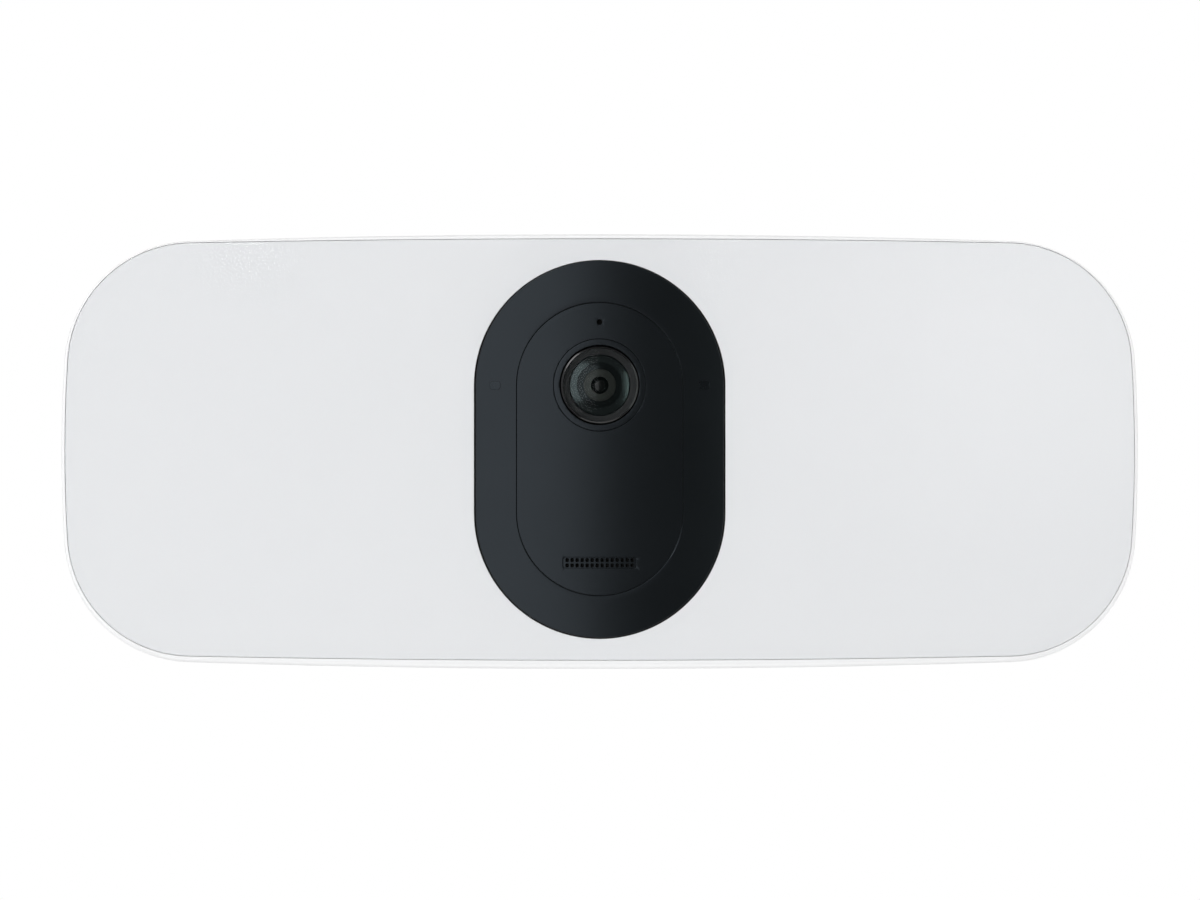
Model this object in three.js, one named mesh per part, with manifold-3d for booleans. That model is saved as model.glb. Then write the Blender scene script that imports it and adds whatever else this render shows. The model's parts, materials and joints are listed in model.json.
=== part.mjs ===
// A battery floodlight camera on a two-axis wall mount.
//
// Millimetres. The wall is the plane y = 0 and the camera looks along -Y, with +Z up and +X to
// the right as seen from the front. The origin is the centre of the wall plate's back face.
// "back" is the end of a piece nearer the wall and "front" the end nearer the viewer, so
// front < back along Y.

import * as THREE from 'three';
import { mergeVertices } from 'three/addons/utils/BufferGeometryUtils.js';
import Module from 'manifold-3d';

const wasm = await Module();
wasm.setup();

// ---------------------------------------------------------------------------------------------
// Driving dimensions

// The light panel's outlines, each with long bowed edges, slightly bowed ends and round corners:
// the housing's widest one, and the seam between the housing and the diffuser.
const RIM = {
  halfWidth: 186,
  halfHeight: 75.1,
  edgeRadius: 4300,
  endRadius: 508,
  cornerRadius: 44.5,
};
const SEAM = {
  halfWidth: 184.4,
  halfHeight: 72.6,
  edgeRadius: 7066,
  endRadius: 506,
  cornerRadius: 42.6,
};
const PANEL = {
  drop: 0.7, // the rim is wider below the diffuser than above it
  front: -128.5,
  back: -106,
  backInset: 26, // how far the back face lies inside the widest outline
  backDepth: 14, // and over what depth it rounds off
  lipInset: 1.2,
  lipDepth: 4,
  wall: 2.2,
  cavityInset: 2.4,
};
const DIFFUSER = { thickness: 2, setBack: 0.2, gap: 0.2 }; // the gap is each side of the seam
const LEDGE = -124.9; // the floor of the seat that the diffuser lies in
const LED_GRID = { columns: 6, rows: 4, left: 66, pitchX: 15, pitchZ: 22 };

// The camera capsule: one stadium section shared by the bezel in front and the housing behind.
const CAPSULE = { width: 86, height: 130 };
const LENS_Z = (CAPSULE.height - CAPSULE.width) / 2; // the lens shares the upper arc's centre
const FACE = { apex: -138, radius: 150, bezelWall: 2.7, skin: 3, plateSkin: 2.4 };
const BEZEL_BACK = -112;
const PLATE = { width: 57, height: 100.5, gap: 0.3 };
const MIC_Z = 43.6;
const GRILLE = { z: -39, columns: 14, rows: 2, pitchX: 1.83, pitchZ: 1.7, radius: 0.55 };
const FILTER = { front: -120.9, back: -120.1, windowWidth: 9, windowHeight: 8, pitch: 10.5 };
const LENS = { ringOuter: 15.7, ringInner: 13.7, ringProud: 0.6, cover: 13.4, coverApex: -139.6 };

const COLLAR = { margin: 2.5, back: -103.5, floor: -106.2 };
const HOUSING = { front: -103.2, back: -54, inset: 14, wall: 2.4 };

// The battery slides down and out of the housing's underside.
const BATTERY = { halfWidth: 30, front: -98, back: -74, bottom: -44, top: 35, wall: 1.5 };
const BATTERY_GAP = 0.5;
const BAY_WALL = 1.6;
const CELL = { radius: 9.2, bottom: -34, top: 30.2, pitch: 18.8, count: 3 };
const RELEASE = { width: 18, depth: 9, top: -60.2, travel: 2, proud: 0.5 };
const SPRING = { radius: 2.6, wire: 0.5, top: -46.9, turns: 6 };

const SYNC = { z: 38, radius: 5, front: -58.4, back: -53.3, travel: 1 };
const CHARGE = { z: -38, width: 24, height: 12 };

// The mount: a vertical pan axis near the wall and a horizontal tilt axis in front of it.
const PAN_Y = -20;
const TILT_Y = -38;
const KNUCKLE = { radius: 9, half: 11.2 };
const EAR = { radius: 9.5, inner: 12.6, outer: 19 };
const PIVOT = { radius: 4, bore: 4.15, head: 7, headHeight: 4 };
const WASHER = { outer: 8.5, inner: 4.25, thickness: 0.9 };
const BASE = { radius: 45, front: -10.5, recess: -5, rim: 41, back: -0.5, round: 7 };
const WALL_PLATE = { radius: 40, thickness: 2.6, slotReach: 24 };
const YOKE = { halfWidth: 24, halfHeight: 21, back: -50.7, front: -53.7 };
const YOKE_SCREWS = { x: 20, z: 17.2 };
const LOCK_SCREW_Y = -2.75;

const GAP = 0.3; // left between pieces that touch on the real object

// ---------------------------------------------------------------------------------------------
// Solids: three.js geometry in, closed bodies out

// A geometry as a closed body that faces out, whichever way its profile runs.
function solid(geometry) {
  const bare = geometry.index ? geometry.toNonIndexed() : geometry.clone();
  bare.deleteAttribute('normal');
  bare.deleteAttribute('uv');
  const merged = mergeVertices(bare, 1e-4);
  const make = (triVerts) =>
    new wasm.Manifold(
      new wasm.Mesh({ numProp: 3, vertProperties: merged.attributes.position.array, triVerts }),
    );
  const triVerts = new Uint32Array(merged.index.array);
  const body = make(triVerts);
  return body.volume() > 0 ? body : make(triVerts.reverse());
}

const join = (first, ...others) => others.reduce((body, other) => body.add(other), first);
const cut = (first, ...tools) => tools.reduce((body, tool) => body.subtract(tool), first);

function geometryOf(body) {
  const mesh = body.getMesh();
  return new THREE.BufferGeometry()
    .setAttribute('position', new THREE.BufferAttribute(new Float32Array(mesh.vertProperties), 3))
    .setIndex(new THREE.BufferAttribute(new Uint32Array(mesh.triVerts), 1));
}

// Points of an arc, without its last one, which the next arc starts on.
function arc(centreX, centreY, radius, from, to, steps) {
  return Array.from({ length: steps }, (_, i) => {
    const angle = from + ((to - from) * i) / steps;
    return new THREE.Vector2(
      centreX + radius * Math.cos(angle),
      centreY + radius * Math.sin(angle),
    );
  });
}

const point = (x, y) => new THREE.Vector2(x, y);

function circle(centreX, centreY, radius, steps) {
  return new THREE.Shape(arc(centreX, centreY, radius, 0, 2 * Math.PI, steps));
}

// A slot with round ends, standing or lying.
function stadium(width, height, { x = 0, y = 0, steps = 14 } = {}) {
  const radius = Math.min(width, height) / 2;
  const dx = width / 2 - radius;
  const dy = height / 2 - radius;
  const start = dx > 0 ? -Math.PI / 2 : 0;
  return new THREE.Shape([
    ...arc(x + dx, y + dy, radius, start, start + Math.PI, steps),
    point(x + dx + radius * Math.cos(start + Math.PI), y + dy + radius * Math.sin(start + Math.PI)),
    ...arc(x - dx, y - dy, radius, start + Math.PI, start + 2 * Math.PI, steps),
    point(x - dx + radius * Math.cos(start), y - dy + radius * Math.sin(start)),
  ]);
}

function roundedRectangle(left, right, bottom, top, radius, steps = 4) {
  const quarter = Math.PI / 2;
  return new THREE.Shape(
    [
      [right - radius, top - radius],
      [left + radius, top - radius],
      [left + radius, bottom + radius],
      [right - radius, bottom + radius],
    ].flatMap(([x, y], i) => [
      ...arc(x, y, radius, i * quarter, (i + 1) * quarter, steps),
      point(x + radius * Math.cos((i + 1) * quarter), y + radius * Math.sin((i + 1) * quarter)),
    ]),
  );
}

// One of the panel's outlines, moved in by inset. Each corner arc touches the long edge's arc and
// the end's arc from inside, so its centre is where two circles about their centres cross.
function bowedOutline(form, inset) {
  const edge = form.edgeRadius - inset;
  const end = form.endRadius - inset;
  const corner = form.cornerRadius - inset;
  const edgeCentre = form.halfHeight - inset - edge;
  const endCentre = form.halfWidth - inset - end;
  const apart = Math.hypot(endCentre, edgeCentre);
  const reach = edge - corner;
  const along = (reach ** 2 - (end - corner) ** 2 + apart ** 2) / (2 * apart);
  const across = Math.sqrt(reach ** 2 - along ** 2);
  const x = (along * endCentre - across * edgeCentre) / apart;
  const y = edgeCentre + (-along * edgeCentre - across * endCentre) / apart;
  const endAngle = Math.atan2(y, x - endCentre);
  const edgeAngle = Math.atan2(y - edgeCentre, x);
  const pi = Math.PI;
  return new THREE.Shape([
    ...arc(endCentre, 0, end, -endAngle, endAngle, 4),
    ...arc(x, y, corner, endAngle, edgeAngle, 8),
    ...arc(0, edgeCentre, edge, edgeAngle, pi - edgeAngle, 6),
    ...arc(-x, y, corner, pi - edgeAngle, pi - endAngle, 8),
    ...arc(-endCentre, 0, end, pi - endAngle, pi + endAngle, 4),
    ...arc(-x, -y, corner, pi + endAngle, pi + edgeAngle, 8),
    ...arc(0, -edgeCentre, edge, pi + edgeAngle, 2 * pi - edgeAngle, 6),
    ...arc(x, -y, corner, 2 * pi - edgeAngle, 2 * pi - endAngle, 8),
  ]);
}

// A front-view outline given thickness along Y. inset and depth round both ends off by a
// quarter ellipse, or by a chamfer where steps is 1.
function slab(outline, back, front, { inset = 0, depth = 0, steps = 4 } = {}) {
  const geometry = new THREE.ExtrudeGeometry(outline, {
    depth: back - front - 2 * depth,
    bevelEnabled: depth > 0,
    bevelThickness: depth,
    bevelSize: inset,
    bevelOffset: -inset,
    bevelSegments: steps,
  });
  geometry.rotateX(Math.PI / 2);
  geometry.translate(0, back - depth, 0);
  return solid(geometry);
}

// A plan-view outline given height along Z.
function column(outline, bottom, top) {
  const geometry = new THREE.ExtrudeGeometry(outline, { depth: top - bottom, bevelEnabled: false });
  return solid(geometry.translate(0, 0, bottom));
}

// A side-view outline, of points (y, z), given width along X.
function sidePlate(outline, left, right) {
  const geometry = new THREE.ExtrudeGeometry(outline, { depth: right - left, bevelEnabled: false });
  const turn = new THREE.Matrix4().makeBasis(
    new THREE.Vector3(0, 1, 0),
    new THREE.Vector3(0, 0, 1),
    new THREE.Vector3(1, 0, 0),
  );
  return solid(geometry.applyMatrix4(turn).translate(left, 0, 0));
}

function block(left, right, front, back, bottom, top) {
  const geometry = new THREE.BoxGeometry(right - left, back - front, top - bottom);
  geometry.translate((left + right) / 2, (front + back) / 2, (bottom + top) / 2);
  return solid(geometry);
}

const rodX = (y, z, radius, left, right, sides = 20) =>
  sidePlate(circle(y, z, radius, sides), left, right);
const rodY = (x, z, radius, back, front, sides = 20) => slab(circle(x, z, radius, sides), back, front);
const rodZ = (x, y, radius, bottom, top, sides = 20) =>
  column(circle(x, y, radius, sides), bottom, top);

// A profile of [radius, y] points turned about the line through (x, z) along Y.
function turned(profile, { x = 0, z = 0, sides = 24 } = {}) {
  const geometry = new THREE.LatheGeometry(profile.map(([r, y]) => point(r, y)), sides);
  return solid(geometry.translate(x, 0, z));
}

// The same, turned about the line through (x, y) along Z; the profile's points are [radius, z].
function turnedUp(profile, { x = 0, y = 0, sides = 20 } = {}) {
  const geometry = new THREE.LatheGeometry(profile.map(([r, z]) => point(r, z)), sides);
  return solid(geometry.rotateX(Math.PI / 2).translate(x, y, 0));
}

// Points [radius, y] of a lens surface, from the axis at apex out to radius at edge.
function dome(radius, apex, edge, steps) {
  return Array.from({ length: steps + 1 }, (_, i) => {
    const r = (radius * i) / steps;
    return [r, apex + (edge - apex) * (r / radius) ** 2];
  });
}

// ---------------------------------------------------------------------------------------------
// Bodies, each a group of named meshes

const floodlightCamera = new THREE.Group();
const bodies = {};
for (const name of ['wall_mount', 'swivel', 'head', 'battery', 'release', 'sync', 'filter']) {
  bodies[name] = new THREE.Group();
  floodlightCamera.add(bodies[name]);
}

const finish = (color, roughness, metalness = 0) =>
  new THREE.MeshStandardMaterial({ color, roughness, metalness });
const WHITE_PLASTIC = finish(0xf2f3f4, 0.45);
const DIFFUSER_PLASTIC = finish(0xe4e6e8, 0.35);
const BLACK_PLASTIC = finish(0x1c1f21, 0.5);
const INNER_BLACK = finish(0x101112, 0.7);
const REFLECTOR_WHITE = finish(0xffffff, 0.6);
const RUBBER = finish(0x2b2b2b, 0.9);
const GLASS = finish(0x20302f, 0.05);
const STEEL = finish(0xb8bbbd, 0.35, 1);
const ALUMINIUM = finish(0xc4c7c9, 0.4, 1);
const CIRCUIT_BOARD = finish(0x1f4a33, 0.6);
const CELL_WRAP = finish(0x3c6fa8, 0.5);
const SMOKED = finish(0x303840, 0.2);

function add(body, name, piece, material) {
  const mesh = new THREE.Mesh(geometryOf(piece), material);
  mesh.name = name;
  bodies[body].add(mesh);
  return mesh;
}

// ---------------------------------------------------------------------------------------------
// Wall mount

function wallPlate() {
  const disc = rodY(0, 0, WALL_PLATE.radius, 0, -WALL_PLATE.thickness, 36);
  const lockTab = block(-7, 7, -4.7, 0, -40, -36);
  const reach = WALL_PLATE.slotReach;
  const slots = [-1, 1].flatMap((sx) =>
    [-1, 1].map((sz) =>
      slab(stadium(5, 9, { x: sx * reach, y: sz * reach, steps: 6 }), 5, -5),
    ),
  );
  const lockHole = rodZ(0, LOCK_SCREW_Y, 1.7, -45, -35, 10);
  return cut(join(disc, lockTab), ...slots, lockHole);
}

function baseCover() {
  const { radius, front, recess, rim, back, round } = BASE;
  const shoulder = Array.from({ length: 5 }, (_, i) => {
    const angle = (i / 4) * (Math.PI / 2);
    return [
      radius - round + round * Math.sin(angle),
      front + round - round * Math.cos(angle),
    ];
  });
  const dish = turned(
    [[0, front], ...shoulder, [radius, back], [rim, back], [rim, recess], [0, recess]],
    { sides: 40 },
  );
  const lugOutline = new THREE.Shape([
    point(-14, front + 3),
    ...arc(0, PAN_Y, EAR.radius, Math.PI, 2 * Math.PI, 12),
    point(EAR.radius, PAN_Y),
    point(14, front + 3),
  ]);
  const lugs = [-1, 1].map((side) =>
    column(lugOutline, ...[side * EAR.inner, side * EAR.outer].sort((a, b) => a - b)),
  );
  const pinBore = rodZ(0, PAN_Y, PIVOT.bore, -30, 30);
  const lockBore = rodZ(0, LOCK_SCREW_Y, 1.7, -50, -38, 10);
  const lockSeat = rodZ(0, LOCK_SCREW_Y, 3.3, -50, -43.4, 14);
  return cut(join(dish, ...lugs), pinBore, lockBore, lockSeat);
}

// A washer's centre is at the origin and its axis along Z.
function washer() {
  const half = WASHER.thickness / 2;
  return turnedUp(
    [
      [WASHER.inner, -half],
      [WASHER.outer, -half],
      [WASHER.outer, half],
      [WASHER.inner, half],
      [WASHER.inner, -half],
    ],
    { sides: 16 },
  );
}

// A pivot bolt along Z with a low domed head at the top.
function pivotBolt() {
  const headStart = EAR.outer + GAP;
  return turnedUp([
    [0, -headStart - PIVOT.headHeight - 1],
    [PIVOT.radius, -headStart - PIVOT.headHeight - 1],
    [PIVOT.radius, headStart],
    [PIVOT.head, headStart],
    [PIVOT.head, headStart + PIVOT.headHeight * 0.5],
    [PIVOT.head - 1.6, headStart + PIVOT.headHeight],
    [0, headStart + PIVOT.headHeight],
  ]);
}

// Its hexagon nut, below the lower ear.
function pivotNut() {
  const top = -EAR.outer - GAP;
  return cut(
    rodZ(0, 0, PIVOT.head, top - PIVOT.headHeight, top, 6),
    rodZ(0, 0, PIVOT.bore, top - 10, top + 5),
  );
}

const washerAt = (KNUCKLE.half + EAR.inner) / 2;

add('wall_mount', 'wall_plate', wallPlate(), STEEL);
add('wall_mount', 'base_cover', baseCover(), WHITE_PLASTIC);
add(
  'wall_mount',
  'base_lock_screw',
  turnedUp(
    [
      [0, -45.3],
      [2.9, -45.3],
      [2.9, -43.7],
      [1.5, -43.7],
      [1.5, -37],
      [0, -37],
    ],
    { y: LOCK_SCREW_Y, sides: 12 },
  ),
  STEEL,
);
add('wall_mount', 'pan_bolt', pivotBolt(), STEEL).position.set(0, PAN_Y, 0);
add('wall_mount', 'pan_nut', pivotNut(), STEEL).position.set(0, PAN_Y, 0);
add('wall_mount', 'pan_washer_upper', washer(), RUBBER).position.set(0, PAN_Y, washerAt);
add('wall_mount', 'pan_washer_lower', washer(), RUBBER).position.set(0, PAN_Y, -washerAt);

// ---------------------------------------------------------------------------------------------
// Swivel: the knuckle between the two axes

function swivelBlock() {
  const { radius, half } = KNUCKLE;
  const panBarrel = rodZ(0, PAN_Y, radius, -half, half, 24);
  const tiltBarrel = rodX(TILT_Y, 0, radius, -half, half, 24);
  const web = block(-radius, radius, TILT_Y, PAN_Y, -radius, radius);
  return cut(
    join(panBarrel, tiltBarrel, web),
    rodZ(0, PAN_Y, PIVOT.bore, -30, 30),
    rodX(TILT_Y, 0, PIVOT.bore, -30, 30),
  );
}

add('swivel', 'swivel_block', swivelBlock(), WHITE_PLASTIC);
for (const [name, side] of [['tilt_washer_left', -1], ['tilt_washer_right', 1]]) {
  const ring = add('swivel', name, washer(), RUBBER);
  ring.position.set(side * washerAt, TILT_Y, 0);
  ring.rotation.y = Math.PI / 2;
}

// ---------------------------------------------------------------------------------------------
// Head: tilt yoke and its fasteners

function tiltYoke() {
  const { halfWidth, halfHeight, back, front } = YOKE;
  const plate = slab(
    roundedRectangle(-halfWidth, halfWidth, -halfHeight, halfHeight, 6),
    back,
    front,
  );
  const wide = THREE.MathUtils.degToRad(110);
  const earOutline = new THREE.Shape([
    point(front + 1, -15),
    ...arc(TILT_Y, 0, EAR.radius, -wide, wide, 14),
    point(TILT_Y + EAR.radius * Math.cos(wide), EAR.radius * Math.sin(wide)),
    point(front + 1, 15),
  ]);
  const holes = [-1, 1].flatMap((sx) =>
    [-1, 1].map((sz) => rodY(sx * YOKE_SCREWS.x, sz * YOKE_SCREWS.z, 1.9, -45, -60, 10)),
  );
  return cut(
    join(
      plate,
      sidePlate(earOutline, EAR.inner, EAR.outer),
      sidePlate(earOutline, -EAR.outer, -EAR.inner),
    ),
    rodX(TILT_Y, 0, PIVOT.bore, -30, 30),
    ...holes,
  );
}

// A pan-head screw along Y, its head on the yoke plate and its tip in the housing wall.
function yokeScrew() {
  const seat = YOKE.back + 0.05;
  return turned(
    [
      [0, seat + 1.8],
      [2, seat + 1.8],
      [2.9, seat + 1],
      [2.9, seat + 0.2],
      [1.6, seat + 0.2],
      [1.6, seat - 8],
      [0, seat - 8],
    ],
    { sides: 12 },
  );
}

add('head', 'tilt_yoke', tiltYoke(), WHITE_PLASTIC);
[[-1, 1], [1, 1], [-1, -1], [1, -1]].forEach(([sx, sz], i) => {
  add('head', `yoke_screw_${i + 1}`, yokeScrew(), STEEL).position.set(
    sx * YOKE_SCREWS.x,
    0,
    sz * YOKE_SCREWS.z,
  );
});
for (const [name, piece] of [['tilt_bolt', pivotBolt()], ['tilt_nut', pivotNut()]]) {
  const fastener = add('head', name, piece, STEEL);
  fastener.position.set(0, TILT_Y, 0);
  fastener.rotation.y = Math.PI / 2;
}

// ---------------------------------------------------------------------------------------------
// Head: rear housing and what it holds

// The housing's outer form, and its cavity, as blocks that run on past the front edge.
const housingForm = slab(stadium(CAPSULE.width, CAPSULE.height, { steps: 18 }), HOUSING.back, -140, {
  inset: HOUSING.inset,
  depth: HOUSING.inset,
  steps: 5,
});

function housingCavity(gap) {
  const inset = HOUSING.wall + gap;
  const round = HOUSING.inset - HOUSING.wall;
  return slab(
    stadium(CAPSULE.width - 2 * inset, CAPSULE.height - 2 * inset, { steps: 18 }),
    HOUSING.back - inset,
    -130,
    { inset: round, depth: round, steps: 4 },
  );
}

function rearHousing() {
  const front = slab(stadium(90, 133), -40, HOUSING.front);
  const batteryDoor = block(
    -BATTERY.halfWidth - BATTERY_GAP,
    BATTERY.halfWidth + BATTERY_GAP,
    BATTERY.front - BATTERY_GAP,
    BATTERY.back + BATTERY_GAP,
    -80,
    -30,
  );
  const screwHoles = [-1, 1].flatMap((sx) =>
    [-1, 1].map((sz) => rodY(sx * YOKE_SCREWS.x, sz * YOKE_SCREWS.z, 1.9, -45, -60, 10)),
  );
  return cut(
    housingForm.intersect(front),
    housingCavity(0),
    batteryDoor,
    rodY(0, SYNC.z, SYNC.radius + GAP, -50, -60, 24),
    slab(stadium(CHARGE.width + 0.6, CHARGE.height + 0.6, { y: CHARGE.z, steps: 8 }), -50, -60),
    ...screwHoles,
  );
}

function batteryBay() {
  const inner = [
    -BATTERY.halfWidth - 0.6,
    BATTERY.halfWidth + 0.6,
    BATTERY.front - 0.6,
    BATTERY.back + 0.6,
    -80,
    BATTERY.top + 1.6,
  ];
  const grow = [-1, 1, -1, 1, -1, 1].map((sign, i) => inner[i] + sign * BAY_WALL);
  return cut(
    block(...grow).intersect(housingCavity(GAP)),
    block(...inner),
    block(-10.4, 10.4, -91.4, -80.6, BATTERY.top, BATTERY.top + 10),
  );
}

// The power board carries the sync switch, whose plunger stands behind the sync button.
function powerBoard() {
  const board = slab(stadium(60, 100, { steps: 8 }), -67, -68.6);
  const switchBody = block(-3, 3, -67.2, -62.5, SYNC.z - 3, SYNC.z + 3);
  const plunger = rodY(0, SYNC.z, 1.6, SYNC.front - SYNC.travel - 0.4, -63, 10);
  const inductor = block(-22, -10, -67.2, -61, -9, 3);
  const charger = block(8, 20, -67.2, -65.5, -6, 6);
  const capacitor = rodY(17, 22, 4, -60, -67.2, 12);
  return join(board, switchBody, plunger, inductor, charger, capacitor);
}

// A recessed magnetic charging socket with three flush pads, its flange inside the wall.
function chargePort() {
  const at = (width, height) => stadium(width, height, { y: CHARGE.z, steps: 8 });
  const shell = join(
    slab(at(CHARGE.width, CHARGE.height), HOUSING.back - 0.1, -60),
    slab(at(CHARGE.width + 4, CHARGE.height + 4), -56.9, -60),
  );
  const recess = slab(at(CHARGE.width - 4, CHARGE.height - 4), -50, -56.8);
  const pads = [-6, 0, 6].map((x) => rodY(x, CHARGE.z, 1.1, -56.4, -57.5, 10));
  return join(cut(shell, recess), ...pads);
}

add('head', 'rear_housing', rearHousing(), WHITE_PLASTIC);
add(
  'head',
  'housing_seal',
  cut(
    slab(stadium(80.6, 123.6), -101, -103.1),
    slab(stadium(77, 120), -100, -105),
  ),
  RUBBER,
);
add('head', 'battery_bay', batteryBay(), INNER_BLACK);
add('head', 'battery_connector', block(-10, 10, -91, -81, BATTERY.top + 0.4, 43), INNER_BLACK);
add('head', 'power_board', powerBoard(), CIRCUIT_BOARD);
add('head', 'siren', rodY(0, 50.5, 9, -92, -99, 18), INNER_BLACK);
add('head', 'charge_port', chargePort(), INNER_BLACK);

// ---------------------------------------------------------------------------------------------
// Head: light panel

function panelShell() {
  const { front, back, backInset, backDepth, lipInset, lipDepth } = PANEL;
  const roundBack = slab(bowedOutline(RIM, 0), back, front - 20, {
    inset: backInset,
    depth: backDepth,
    steps: 5,
  });
  const roundLip = slab(bowedOutline(RIM, 0), back + 30, front, {
    inset: lipInset,
    depth: lipDepth,
    steps: 2,
  });
  const collar = slab(
    stadium(CAPSULE.width + 2 * COLLAR.margin, CAPSULE.height + 2 * COLLAR.margin),
    COLLAR.back,
    back - 6,
    { inset: 1, depth: 1, steps: 2 },
  );
  const form = roundBack.intersect(roundLip).translate([0, 0, -PANEL.drop]);
  const cavity = slab(bowedOutline(SEAM, PANEL.cavityInset), back - PANEL.wall, front - 20, {
    inset: 24,
    depth: 12,
    steps: 3,
  });
  const seat = slab(bowedOutline(SEAM, -DIFFUSER.gap), LEDGE, front - 5);
  const well = slab(stadium(CAPSULE.width + 1.2, CAPSULE.height + 1.2), COLLAR.floor, -115);
  const passage = slab(stadium(74, 117), -95, -115);
  return cut(join(form, collar), cavity, seat, well, passage);
}

function lightReflector() {
  const rim = LEDGE + 0.1;
  const foot = -116.2;
  const depth = foot - rim;
  const outer = slab(bowedOutline(SEAM, 4.6), foot, rim - depth, { inset: 16, depth, steps: 1 });
  const inner = slab(bowedOutline(SEAM, 6), foot + 1, rim - depth - 1, {
    inset: 17.2,
    depth: depth + 1,
    steps: 1,
  });
  const sleeve = slab(stadium(92, 135), foot, rim);
  const behindRim = slab(bowedOutline(RIM, 0), foot + 5, rim);
  const well = slab(stadium(CAPSULE.width + 2.6, CAPSULE.height + 2.6), foot + 10, rim - 10);
  return cut(join(cut(outer, inner).intersect(behindRim), sleeve), well);
}

function ledBoard(side) {
  const span = (near, far) => [side * near, side * far].sort((a, b) => a - b);
  const board = slab(roundedRectangle(...span(56, 152), -44, 44, 6, 3), -110.3, -111.9);
  const packages = [];
  for (let column = 0; column < LED_GRID.columns; column += 1) {
    for (let row = 0; row < LED_GRID.rows; row += 1) {
      const x = LED_GRID.left + column * LED_GRID.pitchX;
      const z = (row - (LED_GRID.rows - 1) / 2) * LED_GRID.pitchZ;
      packages.push(block(...span(x - 1.5, x + 1.5), -112.7, -111.8, z - 1.5, z + 1.5));
    }
  }
  return join(board, ...packages);
}

function heatSpreader(side) {
  const [left, right] = [side * 52, side * 154].sort((a, b) => a - b);
  return slab(roundedRectangle(left, right, -43, 43, 10, 3), -108.6, -110);
}

// A flat ribbon from the light's board in under the main board, with a step at the bezel wall.
function ledCable(side) {
  const run = [
    [28, -112.55],
    [47, -112.55],
    [50, -112.4],
    [62, -112.4],
  ];
  const thickness = 0.3;
  const outline = new THREE.Shape([
    ...run.map(([x, y]) => point(side * x, y)),
    ...[...run].reverse().map(([x, y]) => point(side * x, y + thickness)),
  ]);
  return column(outline, -6, 6);
}

add('head', 'panel_shell', panelShell(), WHITE_PLASTIC);
add(
  'head',
  'diffuser',
  cut(
    slab(
      bowedOutline(SEAM, DIFFUSER.gap),
      PANEL.front + DIFFUSER.setBack + DIFFUSER.thickness,
      PANEL.front + DIFFUSER.setBack,
    ),
    slab(stadium(CAPSULE.width + 0.8, CAPSULE.height + 0.8, { steps: 18 }), -120, -135),
  ),
  DIFFUSER_PLASTIC,
);
add(
  'head',
  'panel_seal',
  cut(slab(bowedOutline(SEAM, 0.3), -125.2, -126), slab(bowedOutline(SEAM, 2.1), -120, -130)),
  RUBBER,
);
add('head', 'light_reflector', lightReflector(), REFLECTOR_WHITE);
for (const [suffix, side] of [['left', -1], ['right', 1]]) {
  add('head', `led_board_${suffix}`, ledBoard(side), CIRCUIT_BOARD);
  add('head', `heat_spreader_${suffix}`, heatSpreader(side), ALUMINIUM);
  add('head', `led_cable_${suffix}`, ledCable(side), INNER_BLACK);
}

// ---------------------------------------------------------------------------------------------
// Head: camera module

// Everything behind a face that curves about a vertical axis, moved back by offset.
function behindFace(offset) {
  const radius = FACE.radius - offset;
  const centre = FACE.apex + FACE.radius;
  const half = Math.asin(52 / radius);
  const down = -Math.PI / 2;
  return column(
    new THREE.Shape([
      point(-52, -90),
      ...arc(0, centre, radius, down - half, down + half, 20),
      point(52, centre - Math.sqrt(radius ** 2 - 52 ** 2)),
      point(52, -90),
    ]),
    -80,
    80,
  );
}

function cameraBezel() {
  const inner = 2 * FACE.bezelWall;
  const capsule = slab(stadium(CAPSULE.width, CAPSULE.height, { steps: 18 }), BEZEL_BACK, -145);
  const pocket = slab(stadium(CAPSULE.width - inner, CAPSULE.height - inner), -100, -145);
  const window = slab(stadium(PLATE.width + 2 * PLATE.gap, PLATE.height + 2 * PLATE.gap), -100, -145);
  const cableNotch = block(-50, 50, -113.2, -105, -7, 7);
  return cut(
    capsule.intersect(behindFace(0)),
    pocket.intersect(behindFace(FACE.skin)),
    window,
    cableNotch,
  );
}

function facePlate() {
  const blank = slab(stadium(PLATE.width, PLATE.height), -110, -145);
  const holes = [];
  for (let column = 0; column < GRILLE.columns; column += 1) {
    for (let row = 0; row < GRILLE.rows; row += 1) {
      const x = (column - (GRILLE.columns - 1) / 2) * GRILLE.pitchX;
      const z = GRILLE.z + (row - (GRILLE.rows - 1) / 2) * GRILLE.pitchZ;
      holes.push(rodY(x, z, GRILLE.radius, -130, -142, 6));
    }
  }
  return cut(
    blank.intersect(behindFace(0)),
    behindFace(FACE.plateSkin),
    rodY(0, LENS_Z, LENS.ringOuter + 0.2, -130, -142, 32),
    rodY(0, MIC_Z, 0.95, -130, -142, 10),
    ...holes,
  );
}

function lensRing() {
  const tube = cut(
    rodY(0, LENS_Z, LENS.ringOuter, -134.4, -142, 32),
    rodY(0, LENS_Z, LENS.ringInner, -130, -145, 32),
  );
  return tube.intersect(behindFace(-LENS.ringProud));
}

const onLensAxis = { z: LENS_Z };

function lensCover() {
  return turned(
    [
      ...dome(LENS.cover, LENS.coverApex, -137.9, 5),
      ...dome(LENS.cover, -138.3, -136.7, 3).reverse(),
    ],
    onLensAxis,
  );
}

function lensBarrel() {
  return turned(
    [
      [2.8, -127.8],
      [2.8, -128.6],
      [5.6, -128.8],
      [5.6, -131.2],
      [9.6, -133.2],
      [10.8, -133.2],
      [10.8, -135.2],
      [12.9, -135.2],
      [12.9, -131],
      [11.5, -130],
      [11.5, -122.6],
      [14, -122.6],
      [14, -121.2],
      [7, -121.2],
      [7, -125],
      [2.8, -127.8],
    ],
    onLensAxis,
  );
}

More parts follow.
